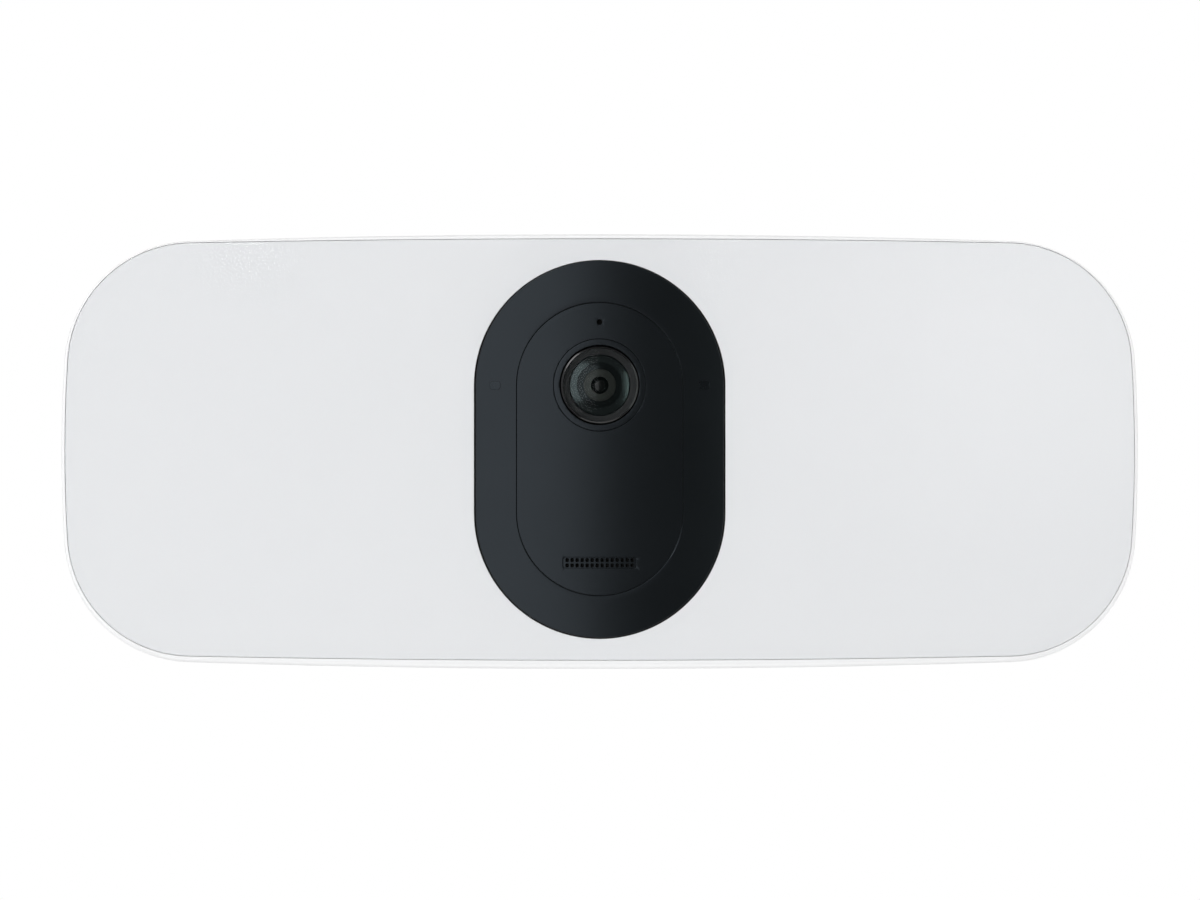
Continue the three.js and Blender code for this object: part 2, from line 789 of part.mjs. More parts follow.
function sensorBoard() {
  const board = block(-15, 15, -118.6, -117.4, LENS_Z - 15, LENS_Z + 15);
  const sensor = block(-4, 4, -119.4, -118.5, LENS_Z - 3.5, LENS_Z + 3.5);
  const connector = block(-7, 7, -117.5, -114.8, LENS_Z - 2.5, LENS_Z + 2.5);
  return join(board, sensor, connector);
}

function infraredLed(side) {
  return turned(
    [
      [0, -114.7],
      [1.5, -114.7],
      [1.5, -123],
      [2.5, -123],
      [2.5, -128],
      [1.4, -129.4],
      [0, -129.7],
    ],
    { x: side * 34.5, z: LENS_Z, sides: 12 },
  );
}

function motionSensor() {
  return turned(
    [
      [0, -114.7],
      [3, -114.7],
      [3, -121.8],
      [5, -121.8],
      [5, -122.8],
      [4.6, -122.8],
      [4.6, -127],
      [0, -127],
    ],
    { z: -8, sides: 18 },
  );
}

function speaker() {
  return turned(
    [
      [0, -122],
      [9, -122],
      [9, -126],
      [15, -130.5],
      [17.5, -130.5],
      [17.5, -133.4],
      [15.5, -133.4],
      [9, -131],
      [0, -131.6],
    ],
    { z: -36, sides: 24 },
  );
}

function microphone() {
  const capsule = rodY(0, MIC_Z, 2.6, -128, -135, 12);
  const riser = block(-2, 2, -128.5, -114.7, MIC_Z - 1.5, MIC_Z + 1.5);
  return join(capsule, riser);
}

function mainBoard() {
  const board = slab(stadium(72, 114), -112.8, -114.4);
  const processor = block(-30, -16, -116, -114.3, -4, 10);
  const memory = block(15, 24, -115.6, -114.3, -6, 5);
  const radioShield = block(-27, -9, -116.6, -114.3, 32, 46);
  const powerStage = block(12, 26, -117, -114.3, -44, -32);
  return join(board, processor, memory, radioShield, powerStage);
}

add('head', 'camera_bezel', cameraBezel(), BLACK_PLASTIC);
add('head', 'face_plate', facePlate(), BLACK_PLASTIC);
add('head', 'lens_ring', lensRing(), BLACK_PLASTIC);
add('head', 'lens_cover', lensCover(), GLASS);
add('head', 'lens_barrel', lensBarrel(), INNER_BLACK);
add(
  'head',
  'lens_front_element',
  turned([...dome(10.4, -137.2, -134.6, 5), [10.4, -133.5], [0, -133.5]], onLensAxis),
  GLASS,
);
add(
  'head',
  'lens_rear_element',
  turned([...dome(5.3, -131.1, -130.2, 3), [5.3, -129.1], [0, -129.1]], onLensAxis),
  GLASS,
);
add('head', 'sensor_board', sensorBoard(), CIRCUIT_BOARD);
add('head', 'ir_led_left', infraredLed(-1), SMOKED);
add('head', 'ir_led_right', infraredLed(1), SMOKED);
add('head', 'motion_sensor', motionSensor(), STEEL);
add('head', 'microphone', microphone(), RUBBER);
add('head', 'speaker', speaker(), INNER_BLACK);
add(
  'head',
  'speaker_mesh',
  slab(
    roundedRectangle(-13.5, 13.5, GRILLE.z - 2.8, GRILLE.z + 2.8, 1.5, 3),
    -134.5,
    -134.8,
  ),
  STEEL,
);
add('head', 'main_board', mainBoard(), CIRCUIT_BOARD);
add(
  'head',
  'camera_chassis',
  cut(
    slab(stadium(84, 127), -109.2, -111.7),
    slab(roundedRectangle(-20, 20, -34, 34, 6), -105, -115),
  ),
  INNER_BLACK,
);

// ---------------------------------------------------------------------------------------------
// Infrared filter: a shuttle behind the lens with a filtered window for day, which stands before
// the sensor at rest, and an open one for night, which the slide along +X brings there

function filterShuttle() {
  const { front, back, windowWidth, windowHeight, pitch } = FILTER;
  const plate = block(-pitch - 6, 6, front, back, LENS_Z - 5.5, LENS_Z + 5.5);
  const windows = [-pitch, 0].map((x) =>
    block(
      x - windowWidth / 2,
      x + windowWidth / 2,
      front - 1,
      back + 1,
      LENS_Z - windowHeight / 2,
      LENS_Z + windowHeight / 2,
    ),
  );
  return cut(plate, ...windows);
}

function filterGlass() {
  const width = FILTER.windowWidth / 2 - 0.2;
  const height = FILTER.windowHeight / 2 - 0.2;
  return block(-width, width, FILTER.front, FILTER.back, LENS_Z - height, LENS_Z + height);
}

add('filter', 'ir_filter_shuttle', filterShuttle(), INNER_BLACK);
add('filter', 'ir_filter_glass', filterGlass(), GLASS);

// ---------------------------------------------------------------------------------------------
// Battery: a pack that slides down out of the bay, its cap part of the housing's underside

function batteryCase() {
  const { halfWidth, front, back, bottom, top, wall } = BATTERY;
  const outline = (inset) =>
    roundedRectangle(-halfWidth + inset, halfWidth - inset, front + inset, back - inset, 3 - inset, 3);
  return cut(column(outline(0), bottom, top), column(outline(wall), bottom - 10, top - wall));
}

function batteryCell() {
  return turnedUp(
    [
      [0, CELL.bottom],
      [CELL.radius, CELL.bottom],
      [CELL.radius, CELL.top],
      [3, CELL.top],
      [3, CELL.top + 1.2],
      [0, CELL.top + 1.2],
    ],
    { sides: 18 },
  );
}

const BATTERY_Y = (BATTERY.front + BATTERY.back) / 2;
const releaseOutline = (gap) =>
  stadium(RELEASE.width + 2 * gap, RELEASE.depth + 2 * gap, { y: BATTERY_Y, steps: 8 });

function batteryCap() {
  const { halfWidth, front, back, bottom } = BATTERY;
  return cut(
    housingForm.intersect(block(-halfWidth, halfWidth, front, back, -70, bottom - GAP)),
    column(releaseOutline(0.4), -70, RELEASE.top + RELEASE.travel + 0.6),
    rodZ(0, BATTERY_Y, 3.6, -62, SPRING.top + 0.3, 16),
  );
}

function releaseButton() {
  const grown = 2 * RELEASE.proud;
  const surface = slab(
    stadium(CAPSULE.width + grown, CAPSULE.height + grown, { steps: 18 }),
    -60,
    -110,
  );
  return column(releaseOutline(0), -70, RELEASE.top).intersect(surface);
}

class Helix extends THREE.Curve {
  getPoint(t, target = new THREE.Vector3()) {
    const angle = 2 * Math.PI * SPRING.turns * t;
    const low = RELEASE.top + 0.25 + SPRING.wire;
    const high = SPRING.top - SPRING.wire;
    return target.set(
      SPRING.radius * Math.cos(angle),
      BATTERY_Y + SPRING.radius * Math.sin(angle),
      low + (high - low) * t,
    );
  }
}

function releaseSpring() {
  return solid(
    new THREE.ExtrudeGeometry(circle(0, 0, SPRING.wire, 6), {
      steps: 10 * SPRING.turns,
      extrudePath: new Helix(),
      bevelEnabled: false,
    }),
  );
}

add('battery', 'battery_case', batteryCase(), INNER_BLACK);
add('battery', 'battery_cap', batteryCap(), WHITE_PLASTIC);
for (let i = 0; i < CELL.count; i += 1) {
  const x = (i - (CELL.count - 1) / 2) * CELL.pitch;
  add('battery', `battery_cell_${i + 1}`, batteryCell(), CELL_WRAP).position.set(x, BATTERY_Y, 0);
}
add('battery', 'release_spring', releaseSpring(), STEEL);
add('release', 'release_button', releaseButton(), WHITE_PLASTIC);

// ---------------------------------------------------------------------------------------------
// Sync button: pressed in from the housing's back

add(
  'sync',
  'sync_button',
  turned(
    [
      [0, SYNC.front],
      [SYNC.radius + 1.4, SYNC.front],
      [SYNC.radius + 1.4, -56.8],
      [SYNC.radius, -56.8],
      [SYNC.radius, SYNC.back - 0.3],
      [SYNC.radius - 0.4, SYNC.back],
      [0, SYNC.back],
    ],
    { z: SYNC.z, sides: 24 },
  ),
  WHITE_PLASTIC,
);

export default floodlightCamera;
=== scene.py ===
"""A battery floodlight camera on a two-axis wall mount, dressed for rendering.

Metres, in the frame's axes: the wall is the plane y = 0, the camera looks along -Y, +Z is up and
+X is to the right as seen from the front. "back" is the end of a piece nearer the wall.
"""

import json
import math

import bmesh
import bpy
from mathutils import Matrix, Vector

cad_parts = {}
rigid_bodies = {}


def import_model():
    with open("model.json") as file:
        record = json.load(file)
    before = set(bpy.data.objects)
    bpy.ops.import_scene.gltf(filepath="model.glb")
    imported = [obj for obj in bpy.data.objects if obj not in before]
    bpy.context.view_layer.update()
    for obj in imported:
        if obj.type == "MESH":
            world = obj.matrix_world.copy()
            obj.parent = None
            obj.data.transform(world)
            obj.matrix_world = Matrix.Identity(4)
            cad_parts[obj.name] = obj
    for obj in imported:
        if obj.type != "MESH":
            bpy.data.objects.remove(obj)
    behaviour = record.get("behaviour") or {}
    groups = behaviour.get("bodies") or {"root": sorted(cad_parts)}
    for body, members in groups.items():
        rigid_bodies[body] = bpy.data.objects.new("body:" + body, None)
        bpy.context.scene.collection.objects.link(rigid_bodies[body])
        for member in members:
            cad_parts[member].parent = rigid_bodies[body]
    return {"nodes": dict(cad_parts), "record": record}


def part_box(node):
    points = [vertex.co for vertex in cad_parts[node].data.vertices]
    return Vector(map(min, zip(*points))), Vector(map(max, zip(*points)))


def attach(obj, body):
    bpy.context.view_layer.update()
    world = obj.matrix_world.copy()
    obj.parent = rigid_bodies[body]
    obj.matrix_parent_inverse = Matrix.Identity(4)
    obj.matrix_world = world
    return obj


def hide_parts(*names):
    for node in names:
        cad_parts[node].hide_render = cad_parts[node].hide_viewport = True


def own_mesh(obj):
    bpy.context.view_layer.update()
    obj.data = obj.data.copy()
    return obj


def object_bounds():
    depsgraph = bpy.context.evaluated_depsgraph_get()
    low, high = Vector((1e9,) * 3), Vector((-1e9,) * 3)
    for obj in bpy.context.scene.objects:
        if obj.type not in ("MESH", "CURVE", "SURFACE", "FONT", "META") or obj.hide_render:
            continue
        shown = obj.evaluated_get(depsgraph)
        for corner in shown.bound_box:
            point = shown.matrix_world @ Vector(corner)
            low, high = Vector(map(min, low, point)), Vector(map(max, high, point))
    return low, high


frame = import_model()
cad_low, cad_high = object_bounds()

MM = 0.001
TURN = 2 * math.pi
CUT = 5 * MM  # how far a cutter stands out of what it cuts

# --------------------------------------
# Driving dimensions: the CAD boxes give the places and sizes, these the shapes between them


def extent(node, axis):
    """A node's lowest and highest place along an axis."""
    low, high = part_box(node)
    return low["XYZ".index(axis)], high["XYZ".index(axis)]


def middle(node, axis):
    low, high = extent(node, axis)
    return (low + high) / 2


# The radii of the arcs that make the panel's outline and that of its seam
RIM = {"edge": 4.3, "end": 0.508, "corner": 0.0445}
SEAM = {"edge": 7.066, "end": 0.506, "corner": 0.0426}
DIFFUSER_GAP = 0.2 * MM

shell_low, shell_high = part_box("panel_shell")
diffuser_low, diffuser_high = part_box("diffuser")
RIM_HALF = (shell_high.x, (shell_high.z - shell_low.z) / 2)
RIM_DROP = middle("panel_shell", "Z")
SEAM_HALF = (diffuser_high.x + DIFFUSER_GAP, diffuser_high.z + DIFFUSER_GAP)
PANEL_FRONT = shell_low.y
PANEL_BACK = PANEL_FRONT + 22.5 * MM

bezel_low, bezel_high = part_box("camera_bezel")
CAPSULE = (2 * bezel_high.x, 2 * bezel_high.z)
FACE_APEX = bezel_low.y
FACE_RADIUS = 150 * MM
LENS_Z = middle("lens_ring", "Z")
LENS_CENTRE = (0, LENS_Z)


# --------------------------------------
# Outlines: lists of (u, v) points, counterclockwise and closed


def arc(centre, radius, start, end, steps, whole=False):
    """Points of an arc. Its last one, which the next arc starts on, comes only when whole."""
    angles = [start + (end - start) * i / steps for i in range(steps + whole)]
    return [(centre[0] + radius * math.cos(a), centre[1] + radius * math.sin(a)) for a in angles]


def circle(radius, centre=(0, 0), steps=48):
    return arc(centre, radius, 0, TURN, steps)


def stadium(width, height, centre=(0, 0), steps=32):
    """A slot with round ends, standing or lying."""
    radius = min(width, height) / 2
    du, dv = width / 2 - radius, height / 2 - radius
    start = -math.pi / 2 if du > 0 else 0
    points = []
    for side, angle in ((1, start), (-1, start + math.pi)):
        end_centre = (centre[0] + side * du, centre[1] + side * dv)
        points += arc(end_centre, radius, angle, angle + math.pi, steps, whole=True)
    return points


def rounded_rectangle(low, high, radius, steps=8):
    centres = [
        (high[0] - radius, high[1] - radius),
        (low[0] + radius, high[1] - radius),
        (low[0] + radius, low[1] + radius),
        (high[0] - radius, low[1] + radius),
    ]
    points = []
    for i, corner in enumerate(centres):
        points += arc(corner, radius, i * TURN / 4, (i + 1) * TURN / 4, steps, whole=True)
    return points


def rectangle_round(centre, size, radius, steps=8):
    """A rounded rectangle of (width, height) round its centre."""
    low = (centre[0] - size[0] / 2, centre[1] - size[1] / 2)
    high = (centre[0] + size[0] / 2, centre[1] + size[1] / 2)
    return rounded_rectangle(low, high, radius, steps)


def bowed_outline(form, half, inset, drop=0.0):
    """The panel's bowed rectangle of arcs that touch, moved in by inset."""
    edge, end, corner = (form[k] - inset for k in ("edge", "end", "corner"))
    edge_centre = half[1] - inset - edge
    end_centre = half[0] - inset - end
    apart = math.hypot(end_centre, edge_centre)
    reach = edge - corner
    along = (reach**2 - (end - corner) ** 2 + apart**2) / (2 * apart)
    across = math.sqrt(reach**2 - along**2)
    u = (along * end_centre - across * edge_centre) / apart
    v = edge_centre + (-along * edge_centre - across * end_centre) / apart
    end_angle = math.atan2(v, u - end_centre)
    edge_angle = math.atan2(v - edge_centre, u)
    pi = math.pi
    few, many = 14, 28
    first_half = (
        arc((end_centre, 0), end, -end_angle, end_angle, few)
        + arc((u, v), corner, end_angle, edge_angle, many)
        + arc((0, edge_centre), edge, edge_angle, pi - edge_angle, many)
        + arc((-u, v), corner, pi - edge_angle, pi - end_angle, many)
    )
    return [(side * x, side * z + drop) for side in (1, -1) for x, z in first_half]


def stadium_towards(outline, width, height):
    """An upright slot's outline with one point in the direction of each point of outline."""
    radius = width / 2
    straight = (height - width) / 2
    points = []
    for u, v in outline:
        length = math.hypot(u, v)
        cos, sin = u / length, v / length
        if abs(radius * sin) <= straight * abs(cos):
            reach = radius / abs(cos)
        else:
            towards = abs(sin) * straight
            reach = towards + math.sqrt(towards**2 - straight**2 + radius**2)
        points.append((reach * cos, reach * sin))
    return points


def between(first, second, share):
    return [
        (a[0] + (b[0] - a[0]) * share, a[1] + (b[1] - a[1]) * share)
        for a, b in zip(first, second)
    ]


def softened(profile, radius):
    """A profile with its corners rounded, its two ends left as they are."""
    points = [profile[0]]
    for before, corner, after in zip(profile, profile[1:], profile[2:]):
        corner = Vector(corner)
        to_before, to_after = Vector(before) - corner, Vector(after) - corner
        start = corner + to_before.normalized() * min(radius, 0.45 * to_before.length)
        end = corner + to_after.normalized() * min(radius, 0.45 * to_after.length)
        for i in range(5):
            t = i / 4
            points.append(tuple(start * (1 - t) ** 2 + corner * 2 * t * (1 - t) + end * t**2))
    return points + [profile[-1]]


# --------------------------------------
# Meshes

WELD = 1e-7
SHARP_EDGE = math.radians(70)
AXES = {
    "X": lambda u, v, w: Vector((w, u, v)),
    "Y": lambda u, v, w: Vector((u, w, v)),
    "Z": lambda u, v, w: Vector((u, v, w)),
}


def skin(bm, loops, closed=False, caps=False):
    """Quads between loops of equally many points. Returns the loops' vertices."""
    rows = [[bm.verts.new(p) for p in loop] for loop in loops]
    pairs = list(zip(rows, rows[1:]))
    if closed:
        pairs.append((rows[-1], rows[0]))
    for first, second in pairs:
        for i in range(len(first)):
            j = (i + 1) % len(first)
            bm.faces.new((first[i], first[j], second[j], second[i]))
    if caps:
        bm.faces.new(rows[0])
        bm.faces.new(rows[-1])
    return rows


def at_y(outline, y):
    return [Vector((u, y, v)) for u, v in outline]


def turned(bm, profile, axis="Y", centre=(0, 0), steps=96):
    """A closed profile of (radius, place along the axis) turned about that axis."""
    place = AXES[axis]
    loops = [
        [place(centre[0] + du * r, centre[1] + dv * r, w) for du, dv in circle(1, steps=steps)]
        for r, w in profile
    ]
    skin(bm, loops)
    bmesh.ops.remove_doubles(bm, verts=bm.verts, dist=WELD)


def plate(bm, outlines, low, high, axis="Y", edge=0.0, edge_steps=2):
    """A plate across the axis, from its outline and those of its holes, with rounded edges."""
    place = AXES[axis]
    made = bmesh.new()
    for outline in outlines:
        verts = [made.verts.new(place(u, v, low)) for u, v in outline]
        for i, vert in enumerate(verts):
            made.edges.new((vert, verts[(i + 1) % len(verts)]))
    bmesh.ops.triangle_fill(made, edges=made.edges, use_beauty=True, use_dissolve=False)
    extruded = bmesh.ops.extrude_face_region(made, geom=list(made.faces), use_keep_orig=True)
    top = [g for g in extruded["geom"] if isinstance(g, bmesh.types.BMVert)]
    bmesh.ops.translate(made, verts=top, vec=place(0, 0, high - low))
    bmesh.ops.recalc_face_normals(made, faces=made.faces)
    if edge:
        corners = [e for e in made.edges if e.calc_face_angle(0) > SHARP_EDGE]
        bmesh.ops.bevel(
            made, geom=corners, offset=edge, segments=edge_steps, profile=0.5, affect="EDGES"
        )
    held = bpy.data.meshes.new("plate")
    made.to_mesh(held)
    made.free()
    bm.from_mesh(held)
    bpy.data.meshes.remove(held)


def face_y(x, offset=0.0):
    """The camera face's y at x: it curves about an upright axis. offset moves it back."""
    radius = FACE_RADIUS - offset
    return FACE_APEX + FACE_RADIUS - math.sqrt(radius**2 - x**2)


def bend_to_face(bm, strip=1.5 * MM):
    """Cuts flat plates that stand at the face's apex into strips and bends them to the face."""
    reach = CAPSULE[0] / 2
    for i in range(int(2 * reach / strip) + 1):
        everything = bm.verts[:] + bm.edges[:] + bm.faces[:]
        place = (-reach + i * strip, 0, 0)
        bmesh.ops.bisect_plane(bm, geom=everything, plane_co=place, plane_no=(1, 0, 0), dist=WELD)
    for vert in bm.verts:
        vert.co.y += face_y(vert.co.x) - FACE_APEX


def carved(obj, cutters, operation="DIFFERENCE"):
    """Applies boolean cutters, each a bmesh, to an object's mesh."""
    for cutter in cutters:
        bmesh.ops.recalc_face_normals(cutter, faces=cutter.faces)
        mesh = bpy.data.meshes.new("cutter")
        cutter.to_mesh(mesh)
        cutter.free()
        tool = bpy.data.objects.new("cutter", mesh)
        bpy.context.scene.collection.objects.link(tool)
        modifier = obj.modifiers.new("cut", "BOOLEAN")
        modifier.operation = operation
        modifier.solver = "EXACT"
        modifier.object = tool
        result = bpy.data.meshes.new_from_object(
            obj.evaluated_get(bpy.context.evaluated_depsgraph_get())
        )
        obj.modifiers.clear()
        old = obj.data
        obj.data = result
        bpy.data.meshes.remove(old)
        bpy.data.objects.remove(tool)
        bpy.data.meshes.remove(mesh)


def new_object(name, bm):
    bmesh.ops.recalc_face_normals(bm, faces=bm.faces)
    mesh = bpy.data.meshes.new(name)
    bm.to_mesh(mesh)
    bm.free()
    obj = bpy.data.objects.new(name, mesh)
    bpy.context.scene.collection.objects.link(obj)
    return obj


def finish_piece(obj, slot, nodes, body="head", sharp=32, material=None):
    """Shades a piece, gives it its material, and puts it in the place of CAD nodes."""
    obj.data.materials.clear()
    obj.data.materials.append(MATERIALS[material or slot])
    obj.data.shade_smooth()
    obj.data.set_sharp_from_angle(angle=math.radians(sharp))
    normals = obj.modifiers.new("even_normals", "WEIGHTED_NORMAL")
    normals.keep_sharp = True
    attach(obj, body)
    if nodes:
        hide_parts(*nodes)
    return obj


# --------------------------------------
# Materials


class Shader:
    """A Principled material and short ways to add its nodes."""

    def __init__(self, **values):
        self.material = bpy.data.materials.new("look")
        self.material.use_nodes = True
        self.nodes = self.material.node_tree.nodes
        self.links = self.material.node_tree.links
        self.surface = self.nodes["Principled BSDF"]
        self.coordinates = self.nodes.new("ShaderNodeTexCoord").outputs["Object"]
        for socket, value in values.items():
            self.surface.inputs[socket.replace("_", " ")].default_value = value

    def noise(self, scale, detail=3.0, stretch=(1, 1, 1)):
        mapping = self.nodes.new("ShaderNodeMapping")
        mapping.inputs["Scale"].default_value = stretch
        self.links.new(self.coordinates, mapping.inputs["Vector"])
        texture = self.nodes.new("ShaderNodeTexNoise")
        texture.inputs["Scale"].default_value = scale
        texture.inputs["Detail"].default_value = detail
        self.links.new(mapping.outputs["Vector"], texture.inputs["Vector"])
        return texture.outputs["Fac"]

    def ramp(self, value, low, high):
        """Spreads the middle of a noise's values, where most of them are, from low to high."""
        scaled = self.nodes.new("ShaderNodeMapRange")
        scaled.inputs["From Min"].default_value = 0.3
        scaled.inputs["From Max"].default_value = 0.7
        scaled.inputs["To Min"].default_value = low
        scaled.inputs["To Max"].default_value = high
        self.links.new(value, scaled.inputs["Value"])
        return scaled.outputs["Result"]

    def colours(self, value, first, second):
        mix = self.nodes.new("ShaderNodeMix")
        mix.data_type = "RGBA"
        mix.inputs["A"].default_value = (*first, 1)
        mix.inputs["B"].default_value = (*second, 1)
        self.links.new(self.ramp(value, 0, 1), mix.inputs["Factor"])
        self.links.new(mix.outputs["Result"], self.surface.inputs["Base Color"])

    def roughness(self, value, low, high):
        self.links.new(self.ramp(value, low, high), self.surface.inputs["Roughness"])

    def bump(self, value, distance):
        bump = self.nodes.new("ShaderNodeBump")
        bump.inputs["Distance"].default_value = distance
        self.links.new(value, bump.inputs["Height"])
        self.links.new(bump.outputs["Normal"], self.surface.inputs["Normal"])


def plastic(first, second, rough, grain_scale, grain_depth, **values):
    """Moulded plastic: faint mottling, uneven gloss and a fine spark-eroded grain."""
    shader = Shader(**values)
    shader.colours(shader.noise(18, 2), first, second)
    shader.roughness(shader.noise(45, 4), *rough)
    shader.bump(shader.noise(grain_scale, 2), grain_depth)
    return shader.material


def metal(first, second, rough, stretch):
    """Plated or rolled metal: fine streaks along one way."""
    shader = Shader(Metallic=1.0)
    shader.colours(shader.noise(60, 3), first, second)
    streaks = shader.noise(400, 3, stretch)
    shader.roughness(streaks, *rough)
    shader.bump(streaks, 0.004 * MM)
    return shader.material


def rubber():
    shader = Shader()
    shader.colours(shader.noise(80, 3), (0.022, 0.022, 0.023), (0.035, 0.035, 0.036))
    shader.roughness(shader.noise(150, 3), 0.75, 0.92)
    shader.bump(shader.noise(1800, 2), 0.03 * MM)
    return shader.material


def glass(colour):
    """Coated optical glass, clear enough to show what lies behind it."""
    shader = Shader(Alpha=0.07, IOR=1.5)
    shader.colours(shader.noise(120, 2), colour, tuple(0.9 * c for c in colour))
    shader.roughness(shader.noise(260, 3), 0.03, 0.05)
    shader.bump(shader.noise(90, 1), 0.0005 * MM)
    return shader.material


def circuit_board():
    """Solder mask over tracks, which show as slightly lighter and raised lines."""
    shader = Shader()
    tracks = shader.nodes.new("ShaderNodeTexBrick")
    tracks.inputs["Scale"].default_value = 160
    tracks.inputs["Mortar Size"].default_value = 0.012
    tracks.inputs["Color1"].default_value = (0, 0, 0, 1)
    tracks.inputs["Color2"].default_value = (0.25, 0.25, 0.25, 1)
    tracks.inputs["Mortar"].default_value = (1, 1, 1, 1)
    shader.links.new(shader.coordinates, tracks.inputs["Vector"])
    shader.colours(tracks.outputs["Color"], (0.012, 0.07, 0.03), (0.03, 0.16, 0.07))
    shader.roughness(shader.noise(200, 3), 0.35, 0.5)
    shader.bump(tracks.outputs["Color"], 0.02 * MM)
    return shader.material


def glossy(colour, rough, **values):
    """Coated or polished surfaces inside the lens."""
    shader = Shader(**values)
    shader.colours(shader.noise(300, 2), colour, tuple(1.08 * c for c in colour))
    shader.roughness(shader.noise(500, 3), *rough)
    shader.bump(shader.noise(900, 1), 0.0006 * MM)
    return shader.material


MATERIALS = {
    "white_plastic": plastic((0.9, 0.9, 0.9), (0.92, 0.92, 0.92), (0.36, 0.46), 2600, 0.012 * MM),
    "diffuser_plastic": plastic(
        (0.77, 0.78, 0.79), (0.773, 0.783, 0.793), (0.14, 0.16), 2200, 0.003 * MM
    ),
    "black_plastic": plastic(
        (0.0086, 0.0103, 0.0116),
        (0.0089, 0.0107, 0.0120),
        (0.31, 0.35),
        3000,
        0.004 * MM,
        Specular_Tint=(0.78, 0.88, 1, 1),
    ),
    "inner_black": plastic(
        (0.006, 0.006, 0.006), (0.011, 0.011, 0.011), (0.5, 0.65), 1600, 0.02 * MM
    ),
    "reflector_white": plastic((0.86, 0.86, 0.86), (0.9, 0.9, 0.9), (0.5, 0.6), 1500, 0.01 * MM),
    "smoked_plastic": plastic(
        (0.004, 0.004, 0.005), (0.006, 0.005, 0.006), (0.08, 0.16), 900, 0.001 * MM
    ),
    "rubber": rubber(),
    "lens_glass": glass((0.02, 0.03, 0.03)),
    "steel": metal((0.52, 0.52, 0.53), (0.62, 0.62, 0.62), (0.24, 0.36), (1, 1, 6)),
    "aluminium": metal((0.7, 0.71, 0.72), (0.78, 0.79, 0.8), (0.3, 0.45), (8, 1, 1)),
    "circuit_board": circuit_board(),
    "cell_wrap": plastic((0.03, 0.11, 0.3), (0.04, 0.14, 0.36), (0.22, 0.34), 500, 0.01 * MM),
    "gold": metal((0.75, 0.55, 0.24), (0.82, 0.62, 0.3), (0.18, 0.3), (1, 1, 1)),
    "infrared_window": glossy(
        (0.0076, 0.0092, 0.0104), (0.24, 0.28), Specular_Tint=(0.76, 0.87, 1, 1)
    ),
    "lens_edge": glossy((0.012, 0.012, 0.013), (0.16, 0.22), IOR=1.8),
    "lens_grey": glossy((0.019, 0.020, 0.022), (0.36, 0.42)),
    "lens_coating": glossy(
        (0.010, 0.012, 0.012), (0.16, 0.2), IOR=1.8, Specular_Tint=(0.78, 0.98, 1, 1)
    ),
    "lens_second": glossy(
        (0.004, 0.005, 0.005), (0.16, 0.2), IOR=1.45, Specular_Tint=(0.8, 0.95, 1, 1)
    ),
    "lens_inner": glossy((0.030, 0.032, 0.028), (0.3, 0.38), Specular_Tint=(0.9, 1, 0.97, 1)),
    "lens_pupil": glossy((0.007, 0.009, 0.007), (0.1, 0.16)),
}
for name, material in MATERIALS.items():
    material.name = name


def dress_cad_nodes():
    """Gives every CAD node its slot's material; the speaker's mesh shows black in its holes."""
    for part in frame["record"]["subparts"]:
        mesh = frame["nodes"][part["node"]].data
        mesh.materials.clear()
        mesh.materials.append(MATERIALS[part["material_slot"]])
    frame["nodes"]["speaker_mesh"].data.materials[0] = MATERIALS["inner_black"]


# --------------------------------------
# Light panel

BACK_INSET = 26 * MM
BACK_DEPTH = 14 * MM
LIP_DEPTH = 4 * MM
LEDGE = PANEL_FRONT + 3.6 * MM
PANEL_WALL = 2.2 * MM
CAVITY_INSET = 2.4 * MM
CAVITY_ROUND = (24 * MM, 12 * MM)
PASSAGE = (74 * MM, 117 * MM)
RIM_CREST = 0.74  # the share of the rim's width at which it is highest
# From there to the seat: shares of the rim's width, and how far each lies behind its crest
RIM_EDGE = ((0.9, 0), (0.97, 0.03 * MM), (1, 0.1 * MM))
COLLAR = {
    "size": (CAPSULE[0] + 5 * MM, CAPSULE[1] + 5 * MM),
    "hole": (PASSAGE[0] + 2 * MM, PASSAGE[1] + 2 * MM),
    "depth": 6 * MM,
    "round": MM,
}
DIFFUSER_GROWTH = 0.27 * MM  # narrows the seam round the diffuser
OPEN_GAP = 0.4 * MM  # from the capsule to the diffuser's opening


def quarter(steps):
    """Pairs that run from (0, 1) to (1, 0) round a quarter circle: a sine and a cosine."""
    angles = [i / steps * math.pi / 2 for i in range(steps + 1)]
    return [(math.sin(a), math.cos(a)) for a in angles]


